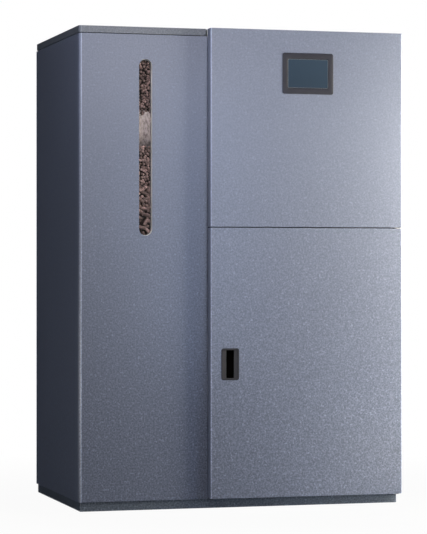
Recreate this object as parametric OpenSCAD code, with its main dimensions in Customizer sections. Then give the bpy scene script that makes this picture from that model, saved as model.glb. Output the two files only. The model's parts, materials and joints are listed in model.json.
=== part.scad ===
// Free-standing pellet boiler: a hopper cabinet on the left feeds a water-jacketed boiler on the right.
// +Z is up, the front faces -Y, and the origin is the middle of the plinth's underside.

/* [Cabinet] */
// Height to the top of the doors and the lid
total_h = 1280; // [1240:1:1340]
// Width of the hopper cabinet, from its left side to the doors
hopper_w = 352; // [340:1:400]
// Width of the boiler cabinet and its doors
boiler_w = 542; // [535:1:600]
// Depth of the cabinet behind the hopper's front panel
cabinet_d = 550; // [540:1:620]
// Thickness of the painted sheet
sheet = 1.5; // [1.2:0.1:2]
// Radius of the left upright edges of the hopper panel and lid
corner_r = 8; // [6:1:12]
// Radius of the folds of the hopper panel and lid beside the doors
fold_r = 2; // [2:0.5:4]
// How far the hopper panel wraps round its upright edges
front_return = 14; // [14:1:24]
// Width of the turned-in bottom edges of the panels
flange_w = 20; // [16:1:30]
// Height of the plinth
plinth_h = 25; // [22:1:40]
// How far the plinth stands back from the panels
plinth_inset = 4; // [2:1:8]
// Thickness of the plinth's floor plate
floor_plate = 3; // [2:0.5:5]

/* [Hopper lid] */
// Thickness of the lid
lid_t = 16; // [14:1:20]
// Gap under the lid, filled by its gasket
lid_gap = 4; // [3:0.5:6]
// Gap under the lid's turned-down rim
rim_gap = 2; // [1:0.5:2.5]
// Thickness of that rim
rim_t = 3; // [2:0.5:5]
// Gap between the lid and the boiler cabinet
lid_side_gap = 5; // [3:1:8]
// How far the lid ends before the cabinet's back
lid_back_gap = 7; // [6:1:10]
// Width of the lid's gasket
gasket_w = 8; // [6:1:12]
// Width of the lid's turned-in underside
lid_rim = 22; // [18:1:30]
// Radius of the lid hinge's knuckles
knuckle_r = 3.5; // [3:0.5:4]
// Radius of the lid hinge's pins
lid_pin_r = 1.8; // [1.5:0.1:2]
// Distance from the hopper's middle to each lid hinge
lid_hinge_spread = 115; // [90:1:130]
// Length of one lid hinge
lid_hinge_l = 60; // [45:1:70]

/* [Doors] */
// How far the doors stand in front of the hopper panel
door_proud = 30; // [28:1:40]
// Thickness of the doors
door_t = 29; // [27:1:30]
// Radius of the doors' upright front edges
door_edge_r = 3; // [2.5:0.5:5]
// Height of the gap between the doors
gap_z = 750; // [735:1:765]
// Height of that gap
door_gap = 3; // [2.8:0.1:4]
// Gap under the lower door
door_floor_gap = 2.5; // [2.4:0.1:4]
// Width of the lip round the back of a door
door_lip = 26; // [25:1:32]
// How far the door frame stands back from the hopper panel
frame_setback = 5; // [4:0.5:8]
// Depth of the door frame
frame_depth = 20; // [15:1:24]
// Width of the frame's left upright
stile_left = 28; // [26:1:36]
// Width of the frame's right upright
stile_right = 42; // [41:1:46]
// Height of the frame's cross rails
rail_h = 30; // [28:1:40]
// Width of the rubber door seals
seal_w = 8; // [6:0.5:10]
// Distance of the hinge pins from the doors' right side
hinge_side = 12; // [11:0.5:13]
// Distance of the hinge pins from the doors' back
hinge_back = 14; // [12:0.5:14]
// Radius of the hinge pins
pin_r = 4; // [3:0.5:5]
// Thickness of the hinge plates
hinge_plate = 2; // [1.5:0.1:2.2]
// Length of a hinge pin inside a door
pin_l = 14; // [10:1:20]
// Radius of the doors' hinge bushes
bush_r = 9; // [8:0.5:10]
// Width of the arms that carry the hinge pins
arm_w = 11; // [10:0.5:12]

/* [Window] */
// Distance of the window slot from the hopper's left side
window_from_left = 181; // [150:1:200]
// Distance of the window slot's top from the top of the hopper panel
window_drop = 65; // [50:1:100]
// Width of the window slot
slot_w = 36; // [20:1:50]
// Height of the window slot
slot_h = 468; // [300:1:480]
// Thickness of the window
glass_t = 4; // [3:0.5:6]
// How far the window reaches past the slot
glass_margin = 12; // [8:1:20]
// Thickness of the window's gasket
window_gasket_t = 2; // [1:0.5:3]

/* [Hopper tank] */
// Gap between the tank and the cabinet's sides
tank_side_gap = 8; // [6:1:14]
// Gap between the tank and the rear panel
tank_back_gap = 10; // [6:1:20]
// Height where the tank's walls begin to slope
knee_z = 640; // [560:5:690]
// Height of the tank's outlet
outlet_z = 300; // [296:1:320]
// Length and width of the tank's outlet
outlet_w = 66; // [50:1:66]
// Distance of the outlet's middle from the hopper's left side
feed_from_left = 177; // [165:1:190]
// Distance of the pellets' top face from the top of the hopper panel
fill_drop = 55; // [40:1:60]

/* [Display] */
// Width of the display's bezel
bezel_w = 143; // [120:1:170]
// Height of the display's bezel
bezel_h = 110; // [90:1:130]
// Distance of the display's middle from the doors' left side
display_from_left = 272; // [230:1:300]
// Distance of the display's middle from the top of the door
display_drop = 116; // [100:1:150]
// Width of the screen
screen_w = 114; // [90:1:116]
// Height of the screen
screen_h = 78; // [60:1:80]
// How far the bezel stands in front of the door
bezel_proud = 2; // [1:0.5:3]
// Depth of the display behind the door's face
display_depth = 22; // [16:1:24]

/* [Pull] */
// Width of the recessed pull
pull_w = 49; // [44:1:60]
// Height of the recessed pull
pull_h = 85; // [70:1:110]
// Distance of the pull's middle from the lower door's left side
pull_from_left = 54; // [45:1:70]
// Height of the pull's middle
pull_z = 385; // [330:1:450]
// Width of the pull's finger slot
finger_w = 19; // [17:1:22]
// Height of the pull's finger slot
finger_h = 74; // [60:1:76]
// Distance of the finger slot from the pull's left edge
finger_from_left = 15; // [13:1:17]
// Depth of the pull
pull_depth = 22; // [18:1:24]
// Wall of the pull's cup
cup_wall = 2; // [1.5:0.5:3]

/* [Boiler] */
// Distance of the boiler from the hopper cabinet
boiler_from_hopper = 95; // [93:1:98]
// Width of the boiler
body_w = 380; // [370:1:385]
// Distance of the boiler's back from the cabinet's back
body_back_gap = 45; // [42:1:60]
// Distance of the boiler's front from the hopper panel's plane
body_setback = 75; // [72:1:80]
// Height of the boiler's underside
body_z0 = 70; // [60:1:80]
// Distance of the boiler's top from the top of the cabinet
body_drop = 190; // [170:1:220]
// Thickness of the boiler's steel plates
steel = 8; // [5:1:10]
// Width of the water space round the firebox
water_gap = 24; // [18:1:26]
// Height of the deck that carries the burner
deck_z = 300; // [298:1:305]
// Thickness of that deck
deck_t = 12; // [8:1:16]
// Height of the firebox ceiling
firebox_top = 640; // [620:1:700]
// Height of the smoke box
smokebox_h = 105; // [100:1:130]
// Radius of a fire tube
tube_r = 30; // [26:1:32]
// Distance between fire tubes across the boiler
tube_pitch_x = 100; // [85:1:104]
// Distance between the two rows of fire tubes
tube_pitch_y = 160; // [150:1:180]
// Thickness of the boiler's insulation
insulation_t = 25; // [20:1:28]
// Width of the rails that carry the boiler
rail_w = 40; // [30:1:60]
// Thickness of the baffle above the fire
baffle_t = 20; // [15:1:30]
// Distance of the baffle's underside from the firebox ceiling
baffle_drop = 80; // [60:1:100]
// Width of the blades in the fire tubes
turbulator_w = 34; // [28:1:36]
// Thickness of those blades
turbulator_t = 2; // [1.5:0.5:3]
// Height of the blades' rods above the firebox ceiling
turbulator_rise = 40; // [30:1:60]
// Width of the bars that carry the blades' rods
turbulator_bar = 10; // [8:1:12]
// Height of those bars above the smoke box floor
turbulator_lift = 20; // [16:1:24]

/* [Firebox door and ash drawer] */
// Thickness of the firebox door
fire_door_t = 12; // [8:1:14]
// How far the firebox door overlaps its opening
fire_door_overlap = 12; // [10:1:14]
// Thickness of the door's insulating board
fire_board_t = 28; // [20:1:40]
// Thickness of the rope seal
rope_t = 3; // [2:0.5:4]
// Distance of the firebox hinge from the door's edge
fire_hinge_out = 12; // [11:1:14]
// Radius of the firebox hinge's pins
fire_pin_r = 5; // [4:0.5:5.5]
// Height of the ash drawer's box
drawer_h = 105; // [80:1:110]
// Gap behind the ash drawer
drawer_back_gap = 40; // [20:1:60]
// Thickness of the ash drawer's sheet
drawer_wall = 2; // [1.5:0.5:3]
// Thickness of the ash drawer's front
drawer_front_t = 10; // [8:1:14]
// Height of the drawer front above the ash floor
drawer_front_h = 118; // [112:1:122]
// Depth of the handles on the firebox door and the ash drawer
handle_depth = 28; // [22:1:30]
// Length of those handles
handle_length = 90; // [70:1:120]
// Radius of those handles
handle_r = 5; // [4:0.5:6]

/* [Feeder and burner] */
// Height of the auger's axis
auger_z = 250; // [246:1:252]
// Outer radius of the auger tube
feed_tube_r = 38; // [36:1:40]
// Wall of the auger tube
feed_tube_wall = 4; // [3:0.5:5]
// Radius of the auger's shaft
shaft_r = 8; // [6:0.5:10]
// Gap between the auger's flight and its tube
flight_gap = 3; // [2:0.5:4]
// Distance between turns of the flight
flight_pitch = 55; // [40:1:70]
// Thickness of the flight
flight_t = 3; // [2:0.5:4]
// Length of the gearbox
gearbox_l = 72; // [70:1:80]
// Width and height of the gearbox
gearbox_w = 80; // [70:1:86]
// Radius of the feeder motor
motor_r = 32; // [26:1:32]
// Length of the feeder motor
motor_length = 90; // [70:1:110]
// How far the motor's flange stands out
motor_flange = 3; // [2:0.5:4]
// Outer radius of the burner pot
pot_r = 60; // [55:1:64]
// Height of the burner pot above the deck's underside
pot_h = 52; // [40:1:70]
// Half the width of the burner's air box
air_box_half = 82; // [72:1:88]
// Height of the air box
air_box_h = 48; // [44:1:56]
// Number of air holes in the burner pot
air_holes = 12; // [8:1:16]
// Radius of an air hole
air_hole_r = 3; // [2:0.5:4]
// Radius of the igniter
igniter_r = 5; // [4:0.5:6]

/* [Fan] */
// Radius of the fan's drum
fan_r = 50; // [46:1:52]
// Distance of the fan's axis in front of the auger
fan_y = 112; // [108:1:120]
// Width of the fan's drum
fan_w = 30; // [26:1:34]
// Radius of the air duct
duct_r = 18; // [15:1:19]
// Distance of the air duct in front of the auger
duct_y = 82; // [78:1:86]
// Number of fan blades
blades = 20; // [12:1:28]
// Radius of the fan motor
fan_motor_r = 24; // [20:1:28]
// Radius of the fan motor's shaft
fan_shaft_r = 4; // [3:0.5:5]

/* [Pipes and flue] */
// Outer radius of the flue collar
flue_r = 40; // [40:5:50]
// Wall of the flue collar
flue_wall = 1.5; // [1:0.5:3]
// Distance of the flue collar's middle from the boiler's top
flue_drop = 52; // [50:1:56]
// Outer radius of the water pipes
pipe_r = 16.6; // [13.2:0.1:21]
// Wall of the water pipes
pipe_wall = 3.2; // [2:0.1:4]
// How far the pipes and flue reach past the rear panel
stub_l = 55; // [50:1:80]
// Distance of the supply pipe below the smoke box
supply_drop = 55; // [35:1:80]
// Height of the return pipe
return_z = 400; // [390:1:450]
// Distance of the water pipes from the boiler's middle
pipe_spread = 110; // [90:1:120]
// Outer radius of the drain pipe
drain_r = 10.5; // [8.3:0.1:13]
// Height of the drain pipe
drain_z = 352; // [350:1:356]
// Length of the drain valve's lever
drain_lever = 34; // [28:1:45]

/* [Controls] */
// Distance of the service plate's top from the top of the cabinet
service_drop = 160; // [140:1:180]
// Height of the service plate
service_h = 220; // [200:1:240]
// Width of the control box
control_w = 300; // [250:1:340]
// Depth of the control box
control_d = 34; // [28:1:36]
// Radius of the reset button
reset_r = 6; // [5:0.5:8]
// Distance of the mains inlet and switch from the top of the cabinet
inlet_drop = 100; // [80:1:110]
// Width of the mains inlet
inlet_w = 48; // [44:1:56]
// Height of the mains inlet
inlet_h = 30; // [28:1:36]
// Depth of the mains inlet
inlet_d = 26; // [22:1:30]

/* [Clearances] */
// Gap between pieces that rest on or beside each other
fit_gap = 0.3; // [0.2:0.05:0.4]
// Radial gap between a shaft and its bore
run_gap = 0.05; // [0.03:0.01:0.08]

/* [Hidden] */
$fn = 64;

paint = "#7b8298";
dark_paint = "#3a3d45";
lid_paint = "#6c747d";
plinth_paint = "#484f57";
black = "#1d1f22";
bare_steel = "#a9adb2";
wool = "#c9b98a";

// Cabinet planes
total_w = hopper_w + boiler_w;
hx0 = -total_w / 2;
hx1 = hx0 + hopper_w;
bx1 = total_w / 2;
y_front = -cabinet_d / 2;
y_back = cabinet_d / 2;
y_rear_in = y_back - sheet;
panel_top = total_h - lid_t - lid_gap;
lid_z0 = total_h - lid_t;
seam = 0.5;

// Doors and frame
door_y0 = y_front - door_proud;
door_y1 = door_y0 + door_t;
frame_y = y_front + frame_setback;
frame_x0 = hx1 + sheet;
frame_x1 = bx1 - sheet;
open_x0 = frame_x0 + stile_left;
open_x1 = frame_x1 - stile_right;
lower_z0 = plinth_h + door_floor_gap;
lower_z1 = gap_z - door_gap / 2;
upper_z0 = gap_z + door_gap / 2;
upper_z1 = total_h;
frame_z1 = total_h - sheet;
lower_open = [plinth_h + rail_h, gap_z - rail_h / 2];
upper_open = [gap_z + rail_h / 2, frame_z1 - rail_h];
hinge_x = bx1 - hinge_side;
hinge_y = door_y1 - hinge_back;
low_arm_z = lower_z0 - hinge_plate - fit_gap;
mid_arm_z = gap_z - hinge_plate / 2;
top_arm_z = upper_z1 - sheet - 12;

// Hopper
window_x = hx0 + window_from_left;
window_z = panel_top - window_drop - slot_h / 2;
fill_z = panel_top - fill_drop;
glass_y0 = y_front + sheet + window_gasket_t;
tank_x0 = hx0 + sheet + tank_side_gap;
tank_x1 = hx1 - sheet - tank_side_gap;
tank_y0 = glass_y0 + glass_t + fit_gap;
tank_y1 = y_rear_in - tank_back_gap;
tank_z1 = panel_top - sheet;
feed_x = hx0 + feed_from_left;
lid_w = hopper_w - lid_side_gap;
lid_d = cabinet_d - lid_back_gap;
lid_axis_y = y_front + lid_d + knuckle_r + seam;
lid_axis_z = panel_top + knuckle_r + seam;
lid_hinge_x = hx0 + lid_w / 2;

// Display and pull
display_x = hx1 + display_from_left;
display_z = upper_z1 - display_drop;
pull_x = hx1 + pull_from_left;
cup_margin = 3;
finger_x0 = pull_x - pull_w / 2 + finger_from_left;

// Boiler
boiler_x0 = hx1 + boiler_from_hopper;
bw = steel * 2 + water_gap;
body_x1 = boiler_x0 + body_w;
body_x = boiler_x0 + body_w / 2;
body_y0 = y_front + body_setback;
body_y1 = y_back - body_back_gap;
body_z1 = total_h - body_drop;
smokebox_z = body_z1 - smokebox_h;
baffle_z = firebox_top - baffle_drop;
fire_x0 = boiler_x0 + bw;
fire_x1 = body_x1 - bw;
fire_y1 = body_y1 - bw;
fire_z0 = deck_z + deck_t;
ash_floor = body_z0 + steel;
tube_y = (body_y0 + body_y1) / 2;
hatch_z = body_z1 + rope_t;
hatch_t = 8;
ledge = 10;
rod_r = 6;
rod_reach = 44;
knob_r = 15;
rod_stop_r = 12;

// Firebox door and ash drawer
fire_opening_z1 = baffle_z - 20;
fire_door_y1 = body_y0 - rope_t;
fire_door_y0 = fire_door_y1 - fire_door_t;
fire_axis_x = fire_x1 + fire_door_overlap + fire_hinge_out;
fire_axis_y = fire_door_y1 - fire_door_t * 2 / 3;
fire_opening_h = fire_opening_z1 - fire_z0;
knuckle_z = [fire_z0 + fire_opening_h / 4, fire_opening_z1 - fire_opening_h / 4];
knuckle_h = fire_opening_h / 8;
knuckle_base_h = knuckle_h / 2;
fire_knuckle_r = 9;
board_gap = 6;

// Feeder, burner and fan
burner_x = body_x;
feed_bore = feed_tube_r - feed_tube_wall;
riser_r = feed_bore + 2;
flight_r = feed_bore - flight_gap;
tube_x0 = feed_x - outlet_w / 2 - 32;
end_plate_t = 6;
elbow_half = feed_tube_r + 7;
tube_x1 = burner_x - elbow_half + end_plate_t;
neck_wall = 4;
fan_x1 = boiler_x0 - insulation_t - 2;
fan_x0 = fan_x1 - fan_w;
fan_z = auger_z + 20;
air_box_z = deck_z - air_box_h;

// Pipes
flue_z = body_z1 - flue_drop;
supply_z = smokebox_z - supply_drop;
supply_x = body_x - pipe_spread;
return_x = body_x + pipe_spread;
stub_y = y_back + stub_l;
drain_x = return_x;
drain_key_y = y_back + 26;

// Controls
service_y = frame_y + frame_depth;
service_z1 = total_h - service_drop;
service_z0 = service_z1 - service_h;
inlet_z = total_h - inlet_drop;
control_x = (open_x0 + open_x1) / 2;
reset_x = control_x + 110;
reset_z = (service_z0 + service_z1) / 2;
inlet_x = frame_x0 + 60;
switch_x = inlet_x + inlet_w / 2 + 22;
rocker_r = 8;
rocker_pin_r = 1.5;

// Box between two opposite corners
module block(a, b) {
    translate(a) cube(b - a);
}

// Cylinders along X, Y and Z
module xcyl(r, x0, x1, y, z) {
    translate([x0, y, z]) rotate([0, 90, 0]) cylinder(h = x1 - x0, r = r);
}

module ycyl(r, y0, y1, x, z) {
    translate([x, y1, z]) rotate([90, 0, 0]) cylinder(h = y1 - y0, r = r);
}

module zcyl(r, z0, z1, x, y) {
    translate([x, y, z0]) cylinder(h = z1 - z0, r = r);
}

// Outline of width w and depth d with its front corners rounded, seen from above
module round_front(w, d, left_r, right_r) {
    far = max(left_r, right_r);
    intersection() {
        union() {
            translate([left_r, left_r]) circle(left_r);
            translate([w - right_r, right_r]) circle(right_r);
            translate([left_r, 0]) square([w - left_r - right_r, far]);
            translate([0, left_r]) square([w / 2, far]);
            translate([w / 2, right_r]) square([w / 2, far]);
            translate([0, far]) square([w, d - far]);
        }
        square([w, d]);
    }
}

// Outline of the hopper's panel, collar and lid, smaller by g on every side
module hopper_outline(w, d, g) {
    translate([g, g]) round_front(w - 2 * g, d - g, max(corner_r - g, 0.5), max(fold_r - g, 0.5));
}

// Slot with round ends, cut along Y
module window_cut(w, h, y0, y1) {
    translate([window_x, y1, window_z]) rotate([90, 0, 0]) linear_extrude(y1 - y0) {
        square([w, h - w], center = true);
        for (s = [-1, 1]) translate([0, s * (h - w) / 2]) circle(w / 2);
    }
}

// Space of the tank, smaller by g on every side
module hopper_form(g, z0, z1) {
    hw = outlet_w / 2;
    intersection() {
        translate([0, tank_y1 - g, 0]) rotate([90, 0, 0]) linear_extrude(tank_y1 - tank_y0 - 2 * g)
            polygon([[tank_x0 + g, z1], [tank_x0 + g, knee_z], [feed_x - hw + g, outlet_z],
                     [feed_x - hw + g, z0], [feed_x + hw - g, z0], [feed_x + hw - g, outlet_z],
                     [tank_x1 - g, knee_z], [tank_x1 - g, z1]]);
        translate([tank_x0, 0, 0]) rotate([90, 0, 90]) linear_extrude(tank_x1 - tank_x0)
            polygon([[tank_y0 + g, z1], [tank_y0 + g, knee_z], [-hw + g, outlet_z],
                     [-hw + g, z0], [hw - g, z0], [hw - g, outlet_z],
                     [tank_y1 - g, knee_z], [tank_y1 - g, z1]]);
    }
}

module base_plinth() {
    x = total_w / 2 - plinth_inset;
    y = cabinet_d / 2 - plinth_inset;
    wall = 2;
    color(plinth_paint) difference() {
        block([-x, -y, 0], [x, y, plinth_h]);
        block([-x + wall, -y + wall, floor_plate], [x - wall, y - wall, plinth_h - wall]);
        block([-x + flange_w, -y + flange_w, floor_plate], [x - flange_w, y - flange_w, plinth_h + 1]);
    }
}

module left_side_panel() {
    y0 = y_front + front_return + seam;
    color(paint) {
        block([hx0, y0, plinth_h], [hx0 + sheet, y_rear_in, panel_top]);
        block([hx0, y_front + flange_w + 1, plinth_h], [hx0 + flange_w, y_back - flange_w - 1, plinth_h + sheet]);
    }
}

module right_side_panel() {
    color(paint) {
        block([frame_x1, frame_y, plinth_h], [bx1, y_rear_in, total_h - sheet]);
        block([bx1 - flange_w, frame_y + frame_depth + 1, plinth_h],
              [bx1, y_back - flange_w - 1, plinth_h + sheet]);
    }
}

module rear_panel() {
    louvres = 9;
    louvre_pitch = 12;
    color(paint) difference() {
        union() {
            block([hx0, y_rear_in, plinth_h], [bx1, y_back, panel_top]);
            block([hx1, y_rear_in, plinth_h], [bx1, y_back, total_h - sheet]);
            block([hx0 + sheet, y_back - flange_w, plinth_h],
                  [bx1 - sheet, y_back, plinth_h + sheet]);
        }
        ycyl(flue_r + 4, y_rear_in - 1, y_back + 1, body_x, flue_z);
        ycyl(pipe_r + 4, y_rear_in - 1, y_back + 1, supply_x, supply_z);
        ycyl(pipe_r + 4, y_rear_in - 1, y_back + 1, return_x, return_z);
        ycyl(drain_r + 4, y_rear_in - 1, y_back + 1, drain_x, drain_z);
        block([inlet_x - inlet_w / 2 + 3, y_rear_in - 1, inlet_z - inlet_h / 2 + 3],
              [switch_x + 12, y_back + 1, inlet_z + inlet_h / 2 - 3]);
        for (i = [0 : louvres - 1])
            block([body_x - 60, y_rear_in - 1, 110 + i * louvre_pitch],
                  [body_x + 60, y_back + 1, 114 + i * louvre_pitch]);
    }
}

module hopper_front_panel() {
    color(paint) difference() {
        union() {
            translate([hx0, y_front, plinth_h]) linear_extrude(panel_top - plinth_h) difference() {
                hopper_outline(hopper_w, front_return, 0);
                hopper_outline(hopper_w, front_return + 1, sheet);
            }
            block([hx0 + corner_r, y_front + sheet / 2, plinth_h],
                  [hx1 - fold_r, y_front + flange_w, plinth_h + sheet]);
        }
        window_cut(slot_w, slot_h, y_front - 1, y_front + sheet + 1);
    }
}

module partition_panel() {
    color(bare_steel) difference() {
        block([hx1, frame_y, plinth_h + sheet], [frame_x0, y_rear_in, total_h - sheet]);
        xcyl(feed_tube_r + fit_gap, hx1 - 1, frame_x0 + 1, 0, auger_z);
    }
}

module boiler_top_panel() {
    z = total_h - sheet;
    color(paint) {
        block([hx1, frame_y, z], [bx1, y_back, total_h]);
        block([frame_x0 + 1, y_rear_in - sheet, z - 14], [frame_x1 - 1, y_rear_in, total_h]);
    }
}

// Upright hole of the frame, larger by g on every side
module frame_opening(zs, g) {
    block([open_x0 - g, frame_y - 1, zs[0] - g], [open_x1 + g, frame_y + frame_depth + 1, zs[1] + g]);
}

module front_frame() {
    color(dark_paint) difference() {
        block([frame_x0, frame_y, plinth_h], [frame_x1, frame_y + frame_depth, frame_z1]);
        frame_opening(lower_open, 0);
        frame_opening(upper_open, 0);
        difference() {
            block([frame_x0 + sheet, frame_y + sheet, plinth_h + sheet],
                  [frame_x1 - sheet, frame_y + frame_depth + 1, frame_z1 - sheet]);
            frame_opening(lower_open, sheet);
            frame_opening(upper_open, sheet);
        }
        for (z = [low_arm_z, mid_arm_z, top_arm_z]) arm_slit(z);
        block([hinge_x - arm_w / 2 - fit_gap, frame_y, plinth_h - 1],
              [hinge_x + arm_w / 2 + fit_gap, frame_y + 10, low_arm_z + hinge_plate + fit_gap]);
    }
}

module door_seals() {
    g = 4;
    color(black) for (zs = [lower_open, upper_open]) difference() {
        block([open_x0 - g - seal_w, door_y1 + fit_gap, zs[0] - g - seal_w],
              [open_x1 + g + seal_w, frame_y, zs[1] + g + seal_w]);
        block([open_x0 - g, door_y1 - 1, zs[0] - g], [open_x1 + g, frame_y + 1, zs[1] + g]);
    }
}

module door_magnets() {
    half = 25;
    spread = 60;
    inset = 120;
    color(bare_steel) for (z = [pull_z - spread, pull_z + spread, upper_open[0] + inset, upper_open[1] - inset])
        block([frame_x0 + 2, door_y1 + fit_gap, z - half], [frame_x0 + 12, frame_y, z + half]);
}

// Arm that hooks through the frame and carries a hinge pin, with its tab up or down behind the frame
module hinge_arm(z0, tab) {
    x0 = hinge_x - arm_w / 2;
    x1 = hinge_x + arm_w / 2;
    y = frame_y + sheet;
    block([x0, hinge_y - arm_w / 2, z0], [x1, y + hinge_plate, z0 + hinge_plate]);
    block([x0, y, min(z0, z0 + tab)], [x1, y + hinge_plate, max(z0 + hinge_plate, z0 + tab)]);
}

// Slit in the frame for one of those arms
module arm_slit(z0) {
    block([hinge_x - arm_w / 2 - fit_gap, frame_y - 1, z0 - fit_gap],
          [hinge_x + arm_w / 2 + fit_gap, frame_y + sheet, z0 + hinge_plate + fit_gap]);
}

module hinge_brackets() {
    color(bare_steel) {
        hinge_arm(low_arm_z, 14);
        zcyl(pin_r, low_arm_z, lower_z0 + sheet + pin_l, hinge_x, hinge_y);
        hinge_arm(mid_arm_z, 12);
        block([hinge_x - 8, door_y0 + 1, mid_arm_z], [bx1 - 1, frame_y, mid_arm_z + hinge_plate]);
        zcyl(pin_r, lower_z1 - sheet - pin_l, upper_z0 + sheet + pin_l, hinge_x, hinge_y);
        hinge_arm(top_arm_z, -12);
        zcyl(pin_r, top_arm_z, upper_z1 - sheet - 1, hinge_x, hinge_y);
    }
}

module panel_screws() {
    head_r = 4;
    head_h = 2;
    edge = 12;
    rows = 3;
    low = plinth_h + flange_w;
    step = (panel_top - edge - low) / rows;
    xs = [hx0 + edge, hx1 - edge, hx1 + edge, bx1 - edge];
    zs = [for (i = [0 : rows]) low + i * step];
    color(bare_steel) for (x = xs) for (z = zs)
        translate([x, y_back, z]) rotate([-90, 0, 0]) difference() {
            cylinder(h = head_h, r = head_r);
            translate([0, 0, head_h / 2]) cube([1, 5, head_h], center = true);
            translate([0, 0, head_h / 2]) cube([5, 1, head_h], center = true);
        }
}

module hopper_collar() {
    depth = y_rear_in - y_front;
    color(dark_paint) difference() {
        translate([hx0, y_front, panel_top - 15]) linear_extrude(15) hopper_outline(hopper_w, depth, sheet);
        translate([hx0, y_front, panel_top - 16]) linear_extrude(16 - sheet)
            hopper_outline(hopper_w, depth - sheet, 2 * sheet);
        block([tank_x0 + sheet, tank_y0 + sheet, panel_top - 16],
              [tank_x1 - sheet, tank_y1 - sheet, panel_top + 1]);
    }
}

module lid_gasket() {
    inset = 8;
    y1 = lid_axis_y - knuckle_r - 8;
    color(black) difference() {
        block([hx0 + inset, y_front + inset, panel_top], [hx0 + lid_w - inset, y1, lid_z0 - fit_gap]);
        block([hx0 + inset + gasket_w, y_front + inset + gasket_w, panel_top - 1],
              [hx0 + lid_w - inset - gasket_w, y1 - gasket_w, lid_z0]);
    }
}

module hopper_tank() {
    color(bare_steel) difference() {
        union() {
            hopper_form(0, outlet_z, tank_z1);
            block([feed_x - outlet_w / 2 - 12, -outlet_w / 2 - 12, outlet_z],
                  [feed_x + outlet_w / 2 + 12, outlet_w / 2 + 12, outlet_z + sheet * 2]);
        }
        hopper_form(sheet, outlet_z - 1, tank_z1 + 1);
        window_cut(slot_w, slot_h, tank_y0 - 1, tank_y0 + sheet + 1);
    }
}

module window_gasket() {
    color(black) difference() {
        window_cut(slot_w + 2 * glass_margin, slot_h + 2 * glass_margin, y_front + sheet, glass_y0);
        window_cut(slot_w + 4, slot_h + 4, y_front, glass_y0 + 1);
    }
}

module window_glass() {
    color("#c8d4d8", 0.4)
        window_cut(slot_w + 2 * glass_margin, slot_h + 2 * glass_margin, glass_y0, glass_y0 + glass_t);
}

module pellet_charge() {
    color("#8a6a4a") hopper_form(sheet, outlet_z, fill_z);
}

// One knuckle of the lid hinge, between two distances from the hinge's middle
module lid_knuckle(a, b) {
    difference() {
        xcyl(knuckle_r, a, b, lid_axis_y, lid_axis_z);
        xcyl(lid_pin_r + run_gap, a - 1, b + 1, lid_axis_y, lid_axis_z);
    }
}

module lid_hinge_base() {
    third = lid_hinge_l / 3;
    color(bare_steel) for (s = [-1, 1]) translate([lid_hinge_x + s * lid_hinge_spread, 0, 0]) {
        xcyl(lid_pin_r, -lid_hinge_l / 2, lid_hinge_l / 2, lid_axis_y, lid_axis_z);
        for (t = [-1, 1]) {
            xcyl(knuckle_r, t * third - third / 2 + fit_gap / 2, t * third + third / 2 - fit_gap / 2,
                 lid_axis_y, lid_axis_z);
            block([t * third - third / 2 + fit_gap / 2, lid_axis_y - knuckle_r, panel_top],
                  [t * third + third / 2 - fit_gap / 2, lid_axis_y + knuckle_r, lid_axis_z]);
        }
    }
}

module hopper_lid() {
    drop = lid_gap - rim_gap;
    color(lid_paint) {
        difference() {
            translate([hx0, y_front, lid_z0]) linear_extrude(lid_t) hopper_outline(lid_w, lid_d, 0);
            translate([hx0, y_front, lid_z0 + sheet]) linear_extrude(lid_t - 2 * sheet)
                hopper_outline(lid_w, lid_d - sheet, sheet);
            block([hx0 + lid_rim, y_front + lid_rim, lid_z0 - 1],
                  [hx0 + lid_w - lid_rim, y_front + lid_d - lid_rim, lid_z0 + sheet + 1]);
        }
        translate([hx0, y_front, lid_z0 - drop]) linear_extrude(drop + sheet) difference() {
            hopper_outline(lid_w, lid_d, 0);
            hopper_outline(lid_w, lid_d + 1, rim_t);
        }
    }
}

module lid_liner() {
    m = lid_rim - 8;
    color(bare_steel)
        block([hx0 + m, y_front + m, lid_z0 + sheet],
              [hx0 + lid_w - m, y_front + lid_d - m, total_h - sheet - fit_gap]);
}

module lid_hinge_leaf() {
    half = lid_hinge_l / 6 - fit_gap / 2;
    color(bare_steel) for (s = [-1, 1]) translate([lid_hinge_x + s * lid_hinge_spread, 0, 0]) difference() {
        union() {
            xcyl(knuckle_r, -half, half, lid_axis_y, lid_axis_z);
            block([-half, y_front + lid_d, lid_axis_z], [half, lid_axis_y, lid_axis_z + knuckle_r]);
            block([-half, y_front + lid_d, lid_axis_z], [half, y_front + lid_d + 1.5, total_h - 4]);
        }
        xcyl(lid_pin_r + run_gap, -lid_hinge_l, lid_hinge_l, lid_axis_y, lid_axis_z);
    }
}

module auger_tube() {
    hw = outlet_w / 2;
    color(bare_steel) difference() {
        union() {
            xcyl(feed_tube_r, tube_x0, tube_x1, 0, auger_z);
            xcyl(feed_tube_r + 4, tube_x0, tube_x0 + end_plate_t, 0, auger_z);
            block([feed_x - hw - neck_wall, -hw, auger_z], [feed_x + hw + neck_wall, hw, outlet_z]);
            block([feed_x - hw - 12, -hw - 12, outlet_z - 3], [feed_x + hw + 12, hw + 12, outlet_z]);
        }
        xcyl(feed_bore, tube_x0 + end_plate_t, tube_x1 + 1, 0, auger_z);
        xcyl(shaft_r + 6, tube_x0 - 1, tube_x0 + end_plate_t + 1, 0, auger_z);
        block([feed_x - hw + 2, -hw + 4, auger_z], [feed_x + hw - 2, hw - 4, outlet_z + 1]);
    }
}

module auger_bush() {
    color("#b08d57") difference() {
        xcyl(shaft_r + 6, tube_x0, tube_x0 + end_plate_t, 0, auger_z);
        xcyl(shaft_r + run_gap, tube_x0 - 1, tube_x0 + end_plate_t + 1, 0, auger_z);
    }
}

module auger_shaft() {
    color(bare_steel) xcyl(shaft_r, tube_x0 - gearbox_l / 2, burner_x - 8, 0, auger_z);
}

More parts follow.
